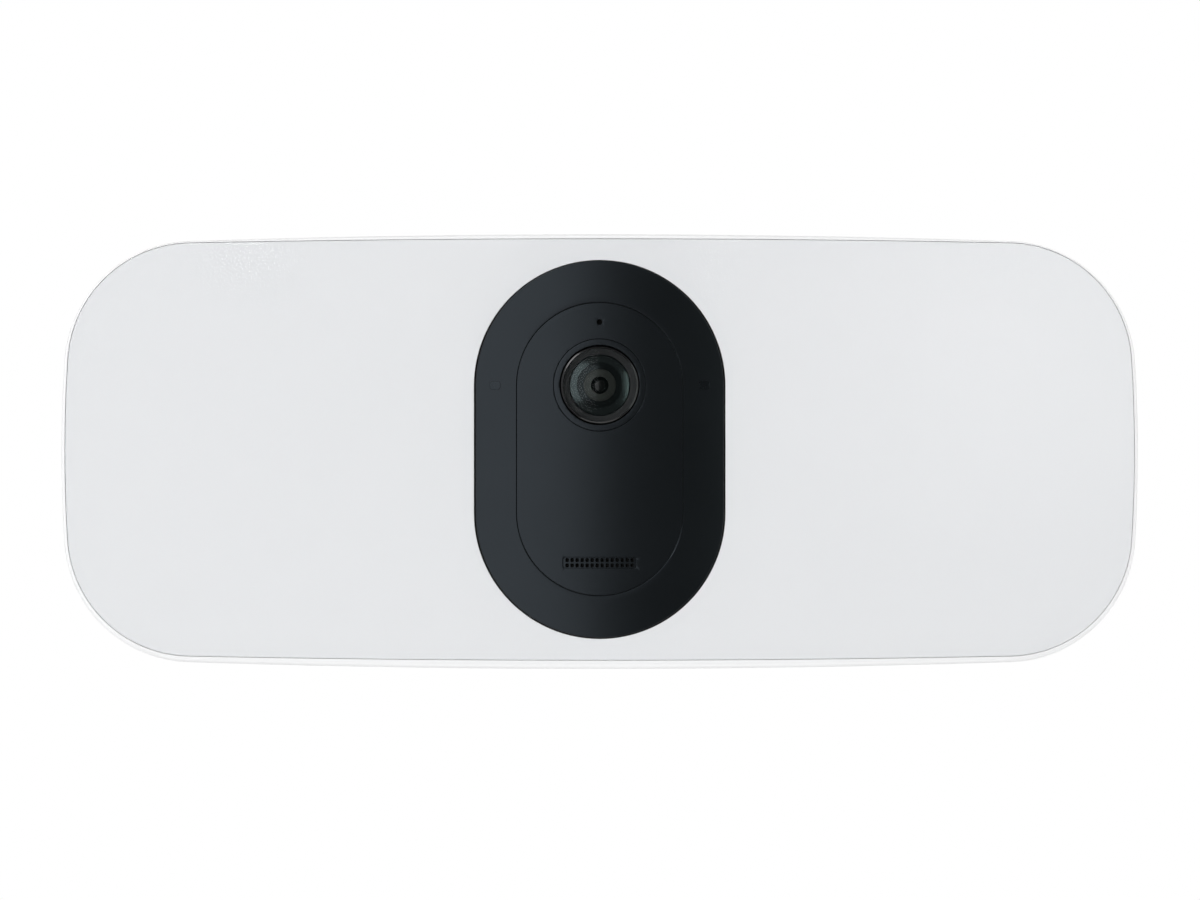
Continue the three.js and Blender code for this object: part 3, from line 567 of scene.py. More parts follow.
def panel_shell():
    """The panel's bowl with its domed rim, the seat for the diffuser and the cavity behind it."""
    bm = bmesh.new()
    outer = bowed_outline(RIM, RIM_HALF, 0, RIM_DROP)
    seat = bowed_outline(SEAM, SEAM_HALF, -DIFFUSER_GAP)
    loops = []
    for sin, cos in quarter(14):
        outline = bowed_outline(RIM, RIM_HALF, BACK_INSET * (1 - sin), RIM_DROP)
        loops.append(at_y(outline, PANEL_BACK - BACK_DEPTH * (1 - cos)))
    for sin, cos in quarter(10):
        outline = between(outer, seat, RIM_CREST * (1 - cos))
        loops.append(at_y(outline, PANEL_FRONT + LIP_DEPTH * (1 - sin)))
    for share, depth in RIM_EDGE:
        loops.append(at_y(between(outer, seat, share), PANEL_FRONT + depth))
    loops.append(at_y(seat, LEDGE))
    loops.append(at_y(bowed_outline(SEAM, SEAM_HALF, CAVITY_INSET), LEDGE))
    floor = PANEL_BACK - PANEL_WALL
    for sin, cos in quarter(6):
        inset = CAVITY_INSET + CAVITY_ROUND[0] * (1 - cos)
        depth = CAVITY_ROUND[1] * (1 - sin)
        loops.append(at_y(bowed_outline(SEAM, SEAM_HALF, inset), floor - depth))
    loops.append(at_y(stadium_towards(outer, *PASSAGE), floor))
    loops.append(at_y(stadium_towards(outer, *PASSAGE), PANEL_BACK))
    skin(bm, loops, closed=True)
    add_collar(bm)
    return finish_piece(new_object("light_panel_housing", bm), "white_plastic", ["panel_shell"])


def add_collar(bm):
    """The low collar on the panel's back that the rear housing meets."""
    back = shell_high.y
    front = PANEL_BACK - COLLAR["depth"]
    width, height = COLLAR["size"]
    loops = [at_y(stadium(width, height), front)]
    for sin, cos in quarter(4):
        inset = 2 * COLLAR["round"] * (1 - cos)
        depth = COLLAR["round"] * (1 - sin)
        loops.append(at_y(stadium(width - inset, height - inset), back - depth))
    hole = stadium(*COLLAR["hole"])
    loops.append(at_y(hole, back))
    loops.append(at_y(hole, front))
    skin(bm, loops, closed=True)


def diffuser():
    bm = bmesh.new()
    outlines = [
        bowed_outline(SEAM, SEAM_HALF, DIFFUSER_GAP - DIFFUSER_GROWTH),
        stadium(CAPSULE[0] + 2 * OPEN_GAP, CAPSULE[1] + 2 * OPEN_GAP, steps=64),
    ]
    plate(bm, outlines, diffuser_low.y, diffuser_high.y, edge=0.12 * MM, edge_steps=3)
    return finish_piece(new_object("opal_diffuser", bm), "diffuser_plastic", ["diffuser"])


# --------------------------------------
# Camera module

BEZEL = (CAPSULE[0] - 0.7 * MM, CAPSULE[1] - 0.7 * MM)  # leaves the gasket in view
BEZEL_FILLET = 0.15 * MM
BEZEL_WALL = 2.35 * MM
GASKET = {"gap": 0.02 * MM, "set_back": 1.4 * MM}
FACE_STEPS = 64
PLATE_SIZE = (57 * MM, 100.5 * MM)
PLATE_GAP = 0.1 * MM
SKIN = 3 * MM
MIC_HOLE = {"z": 43.6 * MM, "radius": 0.95 * MM}
GRILLE = {
    "centre": (0, -39 * MM),
    "slot": (25.2 * MM, 3.8 * MM),
    "corner": 0.9 * MM,
    "columns": 14,
    "rows": 2,
    "pitch": (1.72 * MM, 1.84 * MM),
    "hole": (1.12 * MM, 1.3 * MM),
    "hole_corner": 0.35 * MM,
    "set_back": 0.35 * MM,
}
LED_WINDOW = {
    "x": 36 * MM,
    "size": (3.6 * MM, 2.8 * MM),
    "corner": 0.8 * MM,
    "gap": 0.05 * MM,
    "pocket": 6.4 * MM,
}
LENS_RING = {"outer": 15.78 * MM, "inner": 13.75 * MM, "gap": 0.12 * MM, "proud": 0.25 * MM}
cover_low, cover_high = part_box("lens_cover")
barrel_low, barrel_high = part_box("lens_barrel")
front_low, front_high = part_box("lens_front_element")
rear_low, rear_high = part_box("lens_rear_element")


def on_face(outline, offset=0.0):
    return [Vector((u, face_y(u, offset), v)) for u, v in outline]


def capsule_gasket():
    """The dark gasket between the diffuser and the camera capsule."""
    bm = bmesh.new()
    grow = OPEN_GAP - GASKET["gap"]
    outlines = [
        stadium(CAPSULE[0] + 2 * grow, CAPSULE[1] + 2 * grow, steps=FACE_STEPS),
        bezel_outline(-GASKET["gap"]),
    ]
    plate(bm, outlines, diffuser_low.y + GASKET["set_back"], diffuser_high.y)
    finish_piece(new_object("capsule_gasket", bm), "inner_black", [])


def bezel_outline(inset):
    return stadium(BEZEL[0] - 2 * inset, BEZEL[1] - 2 * inset, steps=FACE_STEPS)


def camera_bezel():
    """The capsule's curved front, with a window for the face plate."""
    bm = bmesh.new()
    loops = [at_y(bezel_outline(0), bezel_high.y)]
    for sin, cos in quarter(5):
        depth = Vector((0, BEZEL_FILLET * (1 - sin), 0))
        loops.append([p + depth for p in on_face(bezel_outline(BEZEL_FILLET * (1 - cos)))])
    window = (PLATE_SIZE[0] + 2 * PLATE_GAP, PLATE_SIZE[1] + 2 * PLATE_GAP)
    rounding = 0.2 * MM
    reach = (BEZEL[0] - window[0]) / 2 - rounding
    bands = 8
    for i in range(1, bands + 1):
        inset = BEZEL_FILLET + (reach - BEZEL_FILLET) * i / bands
        loops.append(on_face(bezel_outline(inset)))
    narrow = stadium(*window, steps=FACE_STEPS)
    loops.append([p + Vector((0, rounding, 0)) for p in on_face(narrow)])
    loops.append(on_face(narrow, SKIN))
    pocket = bezel_outline(BEZEL_WALL)
    loops.append(on_face(pocket, SKIN))
    loops.append(at_y(pocket, bezel_high.y))
    skin(bm, loops, closed=True)
    bezel = new_object("camera_bezel_moulding", bm)
    cutters = []
    for side in (-1, 1):
        cutter = bmesh.new()
        outline = led_window_outline(side, LED_WINDOW["gap"])
        plate(cutter, [outline], FACE_APEX - CUT, FACE_APEX + LED_WINDOW["pocket"])
        cutters.append(cutter)
    carved(bezel, cutters)
    finish_piece(bezel, "black_plastic", ["camera_bezel"])


def led_window_outline(side, gap):
    size = [width + 2 * gap for width in LED_WINDOW["size"]]
    return rectangle_round((side * LED_WINDOW["x"], LENS_Z), size, LED_WINDOW["corner"])


def led_windows():
    """Two small infrared windows, set flush in the bezel on each side of the lens."""
    for side, name in ((-1, "left"), (1, "right")):
        bm = bmesh.new()
        plate(bm, [led_window_outline(side, 0)], FACE_APEX, FACE_APEX + 2 * MM, edge=0.03 * MM)
        bend_to_face(bm, 0.5 * MM)
        window = new_object(f"infrared_window_{name}", bm)
        finish_piece(window, "smoked_plastic", [], material="infrared_window")


def face_plate():
    """The capsule's inner plate: the microphone's hole, the lens's, and the speaker's grille."""
    bm = bmesh.new()
    outlines = [
        stadium(*PLATE_SIZE, steps=FACE_STEPS),
        circle(MIC_HOLE["radius"], (0, MIC_HOLE["z"]), 24),
        circle(LENS_RING["outer"] + LENS_RING["gap"], LENS_CENTRE, 96),
        rectangle_round(GRILLE["centre"], GRILLE["slot"], GRILLE["corner"]),
    ]
    plate(bm, outlines, FACE_APEX, FACE_APEX + 2.4 * MM, edge=0.16 * MM)
    add_grille(bm)
    bend_to_face(bm)
    finish_piece(new_object("camera_face_plate", bm), "black_plastic", ["face_plate"])


def add_grille(bm):
    """The speaker's perforated insert, slightly below the face."""
    outlines = [rectangle_round(GRILLE["centre"], GRILLE["slot"], GRILLE["corner"])]
    for column in range(GRILLE["columns"]):
        for row in range(GRILLE["rows"]):
            x = GRILLE["centre"][0] + (column - (GRILLE["columns"] - 1) / 2) * GRILLE["pitch"][0]
            z = GRILLE["centre"][1] + (row - (GRILLE["rows"] - 1) / 2) * GRILLE["pitch"][1]
            outlines.append(rectangle_round((x, z), GRILLE["hole"], GRILLE["hole_corner"], 3))
    front = FACE_APEX + GRILLE["set_back"]
    plate(bm, outlines, front, front + 1.2 * MM, edge=0.06 * MM, edge_steps=1)


def lens_ring():
    """The flush ring round the lens, which follows the face."""
    bm = bmesh.new()
    outlines = [
        circle(LENS_RING["outer"], LENS_CENTRE, 128),
        circle(LENS_RING["inner"], LENS_CENTRE, 128),
    ]
    front = FACE_APEX - LENS_RING["proud"]
    plate(bm, outlines, front, front + 3.4 * MM, edge=0.14 * MM)
    bend_to_face(bm)
    finish_piece(new_object("lens_trim_ring", bm), "black_plastic", ["lens_ring"])


def turned_part(name, profile, slot, nodes, rounding=0.12, material=None):
    """A piece turned about the lens's axis; its profile is in millimetres."""
    bm = bmesh.new()
    points = [(r * MM, y * MM) for r, y in profile]
    turned(bm, softened(points, rounding * MM), centre=LENS_CENTRE, steps=128)
    return finish_piece(new_object(name, bm), slot, nodes, sharp=40, material=material)


def dome(radius, apex, edge, steps=24):
    """A lens surface's profile from the axis out, the edge a place further back."""
    shares = [i / steps for i in range(steps + 1)]
    return [(radius * s, apex + (edge - apex) * s**2) for s in shares]


def lens_cover():
    """The thin front glass, and the bright ground edge that it is held by."""
    bm = bmesh.new()
    radius = cover_high.x - 0.7 * MM
    outside = dome(radius, cover_low.y, cover_low.y + 1.5 * MM)
    inside = dome(radius - 0.1 * MM, cover_low.y + 0.8 * MM, cover_low.y + 2.3 * MM)
    turned(bm, outside + list(reversed(inside)), centre=LENS_CENTRE, steps=128)
    finish_piece(new_object("lens_cover_glass", bm), "lens_glass", ["lens_cover"], sharp=50)
    front = cover_low.y / MM + 1.5
    outer = cover_high.x / MM
    inner = outer - 0.7
    profile = [
        (inner, front),
        (outer - 0.15, front + 0.32),
        (outer, front + 0.8),
        (outer, front + 2.4),
        (inner, front + 2.4),
        (inner, front),
    ]
    turned_part("lens_cover_edge", profile, "smoked_plastic", [], material="lens_edge")


def lens_barrel():
    """The barrel's stepped rings, between the cover glass and the pupil."""
    front, back = barrel_low.y / MM, barrel_high.y / MM
    outer = barrel_high.x / MM
    profile = [
        (7.4, front + 2.6),
        (10.5, front + 1.6),
        (10.55, front + 0.1),
        (12.9, front),
        (12.9, front + 4.2),
        (11.5, front + 5.2),
        (11.5, back - 1.4),
        (outer, back - 1.4),
        (outer, back),
        (7.0, back),
        (7.0, back - 3.8),
        (7.4, front + 2.6),
    ]
    turned_part("lens_barrel_rings", profile, "inner_black", ["lens_barrel"], material="lens_grey")


def lens_zone(name, surface, reach, set_back, nodes, material, slot="lens_glass"):
    """The part of a lens's surface between two radii, set back and closed behind."""
    zone = [(r, y + set_back) for r, y in surface if reach[0] < r < reach[1]]
    back = surface[-1][1] + 0.6
    zone += [(zone[-1][0], back), (zone[0][0], back), zone[0]]
    return turned_part(name, zone, slot, nodes, material=material)


def lens_elements():
    """Two coated front elements and the iris, each seen as a ring, and the rear element."""
    apex = front_low.y / MM
    surface = dome(front_high.x / MM, apex, apex + 2)
    outer, second, iris = (7.7, math.inf), (5.3, 7.9), (2.7, 5.7)
    node = "lens_front_element"
    coated = [
        lens_zone("front_lens_element", surface, outer, 0, [node], "lens_coating"),
        lens_zone("second_lens_element", surface, second, 0.25, [], "lens_second"),
    ]
    lens_zone("lens_iris", surface, iris, 0.5, [], "lens_inner", slot="inner_black")
    radius, apex, back = rear_high.x / MM, rear_low.y / MM, rear_high.y / MM
    pupil = dome(radius, apex, apex + 0.9) + [(radius, back), (0, back)]
    turned_part(
        "rear_lens_element", pupil, "lens_glass", ["lens_rear_element"], material="lens_pupil"
    )
    return coated


# --------------------------------------
# Rear housing and battery

housing_low, housing_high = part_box("rear_housing")
HOUSING_ROUND = 14 * MM
HOUSING_WALL = 2.4 * MM
UNDER = -80 * MM  # lower than the whole camera
battery_low, battery_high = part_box("battery_cap")
DOOR = {"gap": 0.4 * MM, "corner": 2.5 * MM}
sync_low, sync_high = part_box("sync_button")
SYNC = {"radius": sync_high.x - 1.4 * MM, "gap": 0.2 * MM, "dish": 0.5 * MM}
SYNC_CENTRE = (0, middle("sync_button", "Z"))
port_low, port_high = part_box("charge_port")
PORT_FLANGE = 2 * MM  # lies behind the housing's wall
PORT_GAP = 0.15 * MM
PAD = {"radius": 1.1 * MM, "pitch": 6 * MM}
release_low, release_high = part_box("release_button")
RELEASE_GAP = 0.25 * MM
RELEASE_ROOM = 2.6 * MM  # above the button, for its travel
GROOVE = {"width": 0.9 * MM, "length": 5.2 * MM, "depth": 0.6 * MM, "pitch": 3 * MM}
SPRING = {"wire": 0.5 * MM, "turns": 6, "steps": 24}


def housing_loops(inset, radius, back, front):
    """Stadium loops from the open front to the rounded back."""
    loops = [at_y(stadium(CAPSULE[0] - 2 * inset, CAPSULE[1] - 2 * inset, steps=48), front)]
    for sin, cos in quarter(12):
        shrink = 2 * (inset + radius * (1 - cos))
        outline = stadium(CAPSULE[0] - shrink, CAPSULE[1] - shrink, steps=48)
        loops.append(at_y(outline, back - radius * (1 - sin)))
    return loops


def battery_door(gap):
    """A tall block through the housing's underside, where the battery goes in."""
    cutter = bmesh.new()
    outline = rounded_rectangle(
        (battery_low.x - gap, battery_low.y - gap),
        (battery_high.x + gap, battery_high.y + gap),
        DOOR["corner"],
    )
    plate(cutter, [outline], UNDER, battery_high.z + gap, axis="Z")
    return cutter


def rear_housing():
    bm = bmesh.new()
    outside = housing_loops(0, HOUSING_ROUND, housing_high.y, housing_low.y)
    inside = housing_loops(
        HOUSING_WALL, HOUSING_ROUND - HOUSING_WALL, housing_high.y - HOUSING_WALL, housing_low.y
    )
    outer = skin(bm, outside)
    inner = skin(bm, inside)
    count = len(outer[0])
    for i in range(count):
        j = (i + 1) % count
        bm.faces.new((outer[0][i], outer[0][j], inner[0][j], inner[0][i]))
    bm.faces.new(outer[-1])
    bm.faces.new(inner[-1])
    housing = new_object("rear_housing_shell", bm)
    cutters = [battery_door(DOOR["gap"])]
    holes = (
        circle(SYNC["radius"] + SYNC["gap"], SYNC_CENTRE),
        port_outline(PORT_GAP - PORT_FLANGE),
    )
    for outline in holes:
        cutter = bmesh.new()
        plate(cutter, [outline], housing_high.y - CUT, housing_high.y + CUT)
        cutters.append(cutter)
    carved(housing, cutters)
    finish_piece(housing, "white_plastic", ["rear_housing"], sharp=28)


def port_outline(grow):
    centre = (middle("charge_port", "X"), middle("charge_port", "Z"))
    width, height = port_high.x - port_low.x, port_high.z - port_low.z
    return stadium(width + 2 * grow, height + 2 * grow, centre)


def charge_port():
    """A shallow magnetic charging socket with three gold pads."""
    bm = bmesh.new()
    back = port_high.y
    rim = [port_outline(-PORT_FLANGE), port_outline(-2 * PORT_FLANGE)]
    plate(bm, rim, back - 3 * MM, back, edge=0.3 * MM)
    plate(bm, [port_outline(0)], port_low.y, back - 2.7 * MM, edge=0.2 * MM)
    finish_piece(new_object("charging_socket", bm), "inner_black", ["charge_port"])
    pads = bmesh.new()
    for place in (-1, 0, 1):
        outline = circle(PAD["radius"], (place * PAD["pitch"], middle("charge_port", "Z")), 32)
        plate(pads, [outline], back - 2.9 * MM, back - 2.3 * MM, edge=0.15 * MM)
    finish_piece(new_object("charging_pads", pads), "steel", [], material="gold")


def sync_button():
    """A dished button on the housing's back, held in by a flange."""
    bm = bmesh.new()
    back, front = sync_high.y, sync_low.y
    radius = SYNC["radius"]
    flange = back - 3.5 * MM
    profile = [
        (0, back - SYNC["dish"]),
        (radius * 0.5, back - 0.42 * MM),
        (radius * 0.8, back - 0.1 * MM),
        (radius - 0.6 * MM, back),
        (radius, back - 0.5 * MM),
        (radius, flange),
        (sync_high.x, flange),
        (sync_high.x, front),
        (0, front),
    ]
    turned(bm, softened(profile, 0.4 * MM), centre=SYNC_CENTRE)
    finish_piece(new_object("sync_button_cap", bm), "white_plastic", ["sync_button"], "sync")


def housing_solid(grow=0.0):
    """The housing's outer form as a solid, grown by a margin."""
    cutter = bmesh.new()
    loops = housing_loops(-grow, HOUSING_ROUND, housing_high.y, housing_low.y - 20 * MM)
    skin(cutter, loops, caps=True)
    return cutter


def release_outline(gap):
    centre = (0, middle("release_button", "Y"))
    width, depth = release_high.x - release_low.x, release_high.y - release_low.y
    return stadium(width + 2 * gap, depth + 2 * gap, centre)


def battery_cap():
    cap = new_object("battery_cap_moulding", battery_door(0))
    recess = bmesh.new()
    roof = release_high.z + RELEASE_ROOM
    plate(recess, [release_outline(RELEASE_GAP)], UNDER, roof, axis="Z")
    carved(cap, [housing_solid()], "INTERSECT")
    carved(cap, [recess])
    finish_piece(cap, "white_plastic", ["battery_cap"], "battery", sharp=28)


def release_button():
    """The button in the cap's underside, with three grooves for the finger."""
    bm = bmesh.new()
    plate(bm, [release_outline(0)], UNDER, release_high.z, axis="Z")
    button = new_object("battery_release_button", bm)
    carved(button, [housing_solid(0.5 * MM)], "INTERSECT")
    grooves = []
    for place in (-1, 0, 1):
        centre = (place * GROOVE["pitch"], middle("release_button", "Y"))
        groove = bmesh.new()
        outline = stadium(GROOVE["width"], GROOVE["length"], centre, 8)
        plate(groove, [outline], UNDER, release_low.z + GROOVE["depth"], axis="Z")
        grooves.append(groove)
    carved(button, grooves)
    finish_piece(button, "white_plastic", ["release_button"], "release", sharp=28)


def release_spring():
    """The coil spring above the release button."""
    low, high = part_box("release_spring")
    centre_y = middle("release_spring", "Y")
    length = high.z - low.z
    wire = SPRING["wire"]
    radius = high.x - wire
    section = circle(wire, steps=12)
    directions = circle(1, steps=SPRING["steps"]) * SPRING["turns"]
    step = (length - 2 * wire) / (len(directions) - 1)
    loops = []
    for i, (u, v) in enumerate(directions):
        outward = Vector((u, v, 0))
        centre = Vector((0, centre_y, low.z + wire + i * step)) + outward * radius
        loops.append([centre + outward * du + Vector((0, 0, dv)) for du, dv in section])
    bm = bmesh.new()
    skin(bm, loops, caps=True)
    spring = new_object("release_spring_coil", bm)
    finish_piece(spring, "steel", ["release_spring"], "battery")
    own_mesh(spring)


def battery_case():
    low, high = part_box("battery_case")
    bm = bmesh.new()
    outline = rounded_rectangle((low.x, low.y), (high.x, high.y), 3 * MM)
    plate(bm, [outline], low.z - 0.2 * MM, high.z, axis="Z", edge=1.2 * MM, edge_steps=4)
    case = new_object("battery_case_shell", bm)
    finish_piece(case, "inner_black", ["battery_case"], "battery")


# --------------------------------------
# Mount

PAN_Y = middle("pan_washer_upper", "Y")
TILT_Y = middle("tilt_washer_left", "Y")
# Both pivots: their bolt's hole, and the cheeks on each side of the swivel
BORE = 4.15 * MM
CHEEK = {"inner": 12.6 * MM, "outer": 19 * MM, "radius": 9.5 * MM}
SWIVEL = {"half": 11.2 * MM, "radius": 9 * MM}
BOLT = {"seat": 19.3 * MM, "shaft": 4 * MM, "head": 7 * MM, "socket": 2.6 * MM}
WASHER = (8.5 * MM, 4.25 * MM)
WALL_SLOT = {"size": (5 * MM, 9 * MM), "place": 24 * MM}
WALL_TAB = ((-7 * MM, -40 * MM), (7 * MM, -36 * MM))
DOME = {"front": -10.5 * MM, "round": 7 * MM, "rim": 4 * MM, "inside": -5 * MM}
YOKE = {"thick": 3 * MM, "corner": 6 * MM, "foot": 15 * MM}


def wall_plate():
    """A steel disc with four upright screw slots, and a tab at its lower edge."""
    bm = bmesh.new()
    place = WALL_SLOT["place"]
    centres = [(sx * place, sz * place) for sx in (-1, 1) for sz in (-1, 1)]
    slots = [stadium(*WALL_SLOT["size"], centre, 12) for centre in centres]
    disc = circle(extent("wall_plate", "X")[1], steps=96)
    plate(bm, [disc, *slots], -2.6 * MM, 0, edge=0.3 * MM)
    plate(bm, [rounded_rectangle(*WALL_TAB, 0.5 * MM)], -4.7 * MM, -2 * MM, edge=0.3 * MM)
    finish_piece(new_object("wall_plate_disc", bm), "steel", ["wall_plate"], "wall_mount")


def cheeks(bm, outline, centre, axis):
    """Two plates on each side of the swivel, with a hole for the bolt."""
    inner, outer = CHEEK["inner"], CHEEK["outer"]
    for ends in ((-outer, -inner), (inner, outer)):
        outlines = [outline, circle(BORE, centre)]
        plate(bm, outlines, *ends, axis=axis, edge=0.8 * MM, edge_steps=3)


def base_cover():
    """The round cover over the wall plate, and the two lugs that hold the swivel."""
    bm = bmesh.new()
    radius, back = extent("base_cover", "X")[1], extent("base_cover", "Y")[1]
    front, inside, rounding = DOME["front"], DOME["inside"], DOME["round"]
    shoulder = [
        (radius - rounding * (1 - sin), front + rounding * (1 - cos)) for sin, cos in quarter(10)
    ]
    rim = radius - DOME["rim"]
    turned(bm, [(0, front), *shoulder, (radius, back), (rim, back), (rim, inside), (0, inside)])
    reach, foot = CHEEK["radius"], front + 3 * MM
    lug = [(-14 * MM, foot), *arc((0, PAN_Y), reach, math.pi, TURN, 32)]
    lug += [(reach, PAN_Y), (14 * MM, foot)]
    cheeks(bm, lug, (0, PAN_Y), "Z")
    cover = new_object("base_cover_dome", bm)
    finish_piece(cover, "white_plastic", ["base_cover"], "wall_mount")


def pivot_fasteners(prefix, body, along, centre):
    """A pivot bolt with a hexagon socket, and its nut."""
    seat, shaft, head = BOLT["seat"], BOLT["shaft"], BOLT["head"]
    bm = bmesh.new()
    profile = [
        (0, -seat - 5 * MM),
        (shaft, -seat - 5 * MM),
        (shaft, seat),
        (head, seat),
        (head, seat + 2 * MM),
        (5.4 * MM, seat + 4 * MM),
        (0, seat + 4 * MM),
    ]
    turned(bm, softened(profile, 0.7 * MM), axis=along, centre=centre)
    bolt = new_object(f"{prefix}_bolt_turned", bm)
    socket = bmesh.new()
    hexagon = circle(BOLT["socket"], centre, 6)
    plate(socket, [hexagon], seat + 1.6 * MM, seat + 6 * MM, axis=along)
    carved(bolt, [socket])
    finish_piece(bolt, "steel", [f"{prefix}_bolt"], body)
    bm = bmesh.new()
    outlines = [circle(head, centre, 6), circle(BORE, centre)]
    plate(bm, outlines, -seat - 4 * MM, -seat, axis=along, edge=0.6 * MM, edge_steps=3)
    finish_piece(new_object(f"{prefix}_nut_hexagon", bm), "steel", [f"{prefix}_nut"], body)


def washer(node, name, body, along, centre):
    bm = bmesh.new()
    low, high = extent(node, along)
    outlines = [circle(WASHER[0], centre, 64), circle(WASHER[1], centre)]
    plate(bm, outlines, low, high, axis=along, edge=0.2 * MM)
    finish_piece(new_object(name, bm), "rubber", [node], body)


def swivel_block():
    """Two crossing barrels with a web between them, bored for the two bolts."""
    half, radius = SWIVEL["half"], SWIVEL["radius"]
    bm = bmesh.new()
    plate(bm, [circle(radius, (0, PAN_Y), 64)], -half, half, axis="Z", edge=0.8 * MM, edge_steps=3)
    swivel = new_object("swivel_knuckle", bm)
    barrel = bmesh.new()
    outline = circle(radius, (TILT_Y, 0), 64)
    plate(barrel, [outline], -half, half, axis="X", edge=0.8 * MM, edge_steps=3)
    web = bmesh.new()
    side = radius - 0.2 * MM
    plate(web, [rounded_rectangle((-side, -side), (side, side), MM)], TILT_Y, PAN_Y)
    carved(swivel, [barrel, web], "UNION")
    bores = []
    for axis, centre in (("Z", (0, PAN_Y)), ("X", (TILT_Y, 0))):
        bore = bmesh.new()
        plate(bore, [circle(BORE, centre)], -30 * MM, 30 * MM, axis=axis)
        bores.append(bore)
    carved(swivel, bores)
    finish_piece(swivel, "white_plastic", ["swivel_block"], "swivel")


def tilt_yoke():
    """The plate on the housing's back, and the two ears that hold the swivel."""
    bm = bmesh.new()
    low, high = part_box("tilt_yoke")
    outline = rounded_rectangle((low.x, low.z), (high.x, high.z), YOKE["corner"])
    plate(bm, [outline], low.y, low.y + YOKE["thick"], edge=0.8 * MM, edge_steps=3)
    wide = math.radians(110)
    root, foot = low.y + MM, YOKE["foot"]
    ear = [(root, -foot), *arc((TILT_Y, 0), CHEEK["radius"], -wide, wide, 40, whole=True)]
    ear.append((root, foot))
    cheeks(bm, ear, (TILT_Y, 0), "X")
    finish_piece(new_object("tilt_yoke_bracket", bm), "white_plastic", ["tilt_yoke"])


def yoke_screw(number):
    """A pan-head screw with a cross recess."""
    node = f"yoke_screw_{number}"
    centre = (middle(node, "X"), middle(node, "Z"))
    front, back = extent(node, "Y")
    profile = [
        (0, back),
        (1.6 * MM, back - 0.1 * MM),
        (2.6 * MM, back - 0.6 * MM),
        (2.9 * MM, back - 1.6 * MM),
        (1.6 * MM, back - 1.6 * MM),
        (1.6 * MM, front),
        (0, front),
    ]
    bm = bmesh.new()
    turned(bm, softened(profile, 0.25 * MM), centre=centre, steps=48)
    screw = new_object(f"bracket_screw_{number}", bm)
    cutters = []
    long, narrow = 1.6 * MM, 0.3 * MM
    for across, along in ((long, narrow), (narrow, long)):
        cutter = bmesh.new()
        outline = [
            (centre[0] + su * across, centre[1] + sv * along)
            for su, sv in ((-1, -1), (1, -1), (1, 1), (-1, 1))
        ]
        plate(cutter, [outline], back - 0.9 * MM, back + MM)
        cutters.append(cutter)
    carved(screw, cutters)
    finish_piece(screw, "steel", [node])


# --------------------------------------
# Studio

VIEW_WIDTH = 0.4140  # what the picture spans at the panel's front
VIEW_DISTANCE = 1.8
VIEW_ELEVATION = -0.7
VIEW_TARGET = (0.1 * MM, PANEL_FRONT, -0.2 * MM)
SENSOR = 36
WORLD_STRENGTH = 1.22
# The share of it that comes from each direction, by how far back that points, from -1 to 1
WORLD_SHARES = ((-0.35, 0.05), (0.1, 1.0), (0.4, 0.7), (1, 0.32))
MIDDLE = (0, PANEL_FRONT, 0)
# The pieces lit, the place, what it is aimed at, width and height, watts and colour
LIGHTS = {
    "key": ("others", (-1.55, -2.75, 0.35), MIDDLE, (3.3, 2.9), 34, (0.96, 0.99, 1)),
    "upper_left": ("others", (-1.2, -1.1, 1.2), MIDDLE, (0.8, 0.8), 5, (1, 1, 1)),
    "right": ("others", (2.0, -1.6, 0), MIDDLE, (1.0, 3.0), 6, (0.9, 1, 0.95)),
    "lens_right": ("lens", (1.55, -1.75, 0), MIDDLE, (0.5, 1.9), 4.5, (0.88, 1, 0.94)),
    "panel_fill": ("panel", (-1.2, -3.2, 0.8), MIDDLE, (6, 6), 210, (0.985, 0.99, 1)),
    "panel_window": (
        "panel", (0.37, -2.53, 0.125), (0.37, 0, 0.125), (0.27, 0.26), 0.36, (1, 1, 1)
    ),
    "panel_right": ("panel", (2.0, PANEL_FRONT, 0), MIDDLE, (0.3, 1.5), 13, (1, 1, 1)),
    "panel_below": ("panel", (0, PANEL_FRONT, -2.0), MIDDLE, (1.5, 0.3), 11, (1, 1, 1)),
}
FLOOR_DROP = 0.8
FLOOR_RINGS = (0.3, 0.5, 0.8)


def studio_camera():
    camera = bpy.data.cameras.new("camera")
    camera.sensor_width = SENSOR
    camera.lens = SENSOR * VIEW_DISTANCE / VIEW_WIDTH
    camera.clip_start = 0.05
    obj = bpy.data.objects.new("camera", camera)
    bpy.context.scene.collection.objects.link(obj)
    elevation = math.radians(VIEW_ELEVATION)
    back = Vector((0, -math.cos(elevation), math.sin(elevation)))
    obj.location = Vector(VIEW_TARGET) + back * VIEW_DISTANCE
    obj.rotation_euler = (-back).to_track_quat("-Z", "Y").to_euler()
    bpy.context.scene.camera = obj


def area_light(name, place, target, size, power, colour):
    light = bpy.data.lights.new(name, "AREA")
    light.shape = "RECTANGLE"
    light.size, light.size_y = size
    light.energy = power
    light.color = colour
    obj = bpy.data.objects.new(name, light)
    bpy.context.scene.collection.objects.link(obj)
    obj.location = place
    obj.rotation_euler = (Vector(target) - Vector(place)).to_track_quat("-Z", "Y").to_euler()
    obj.visible_camera = False
    return obj


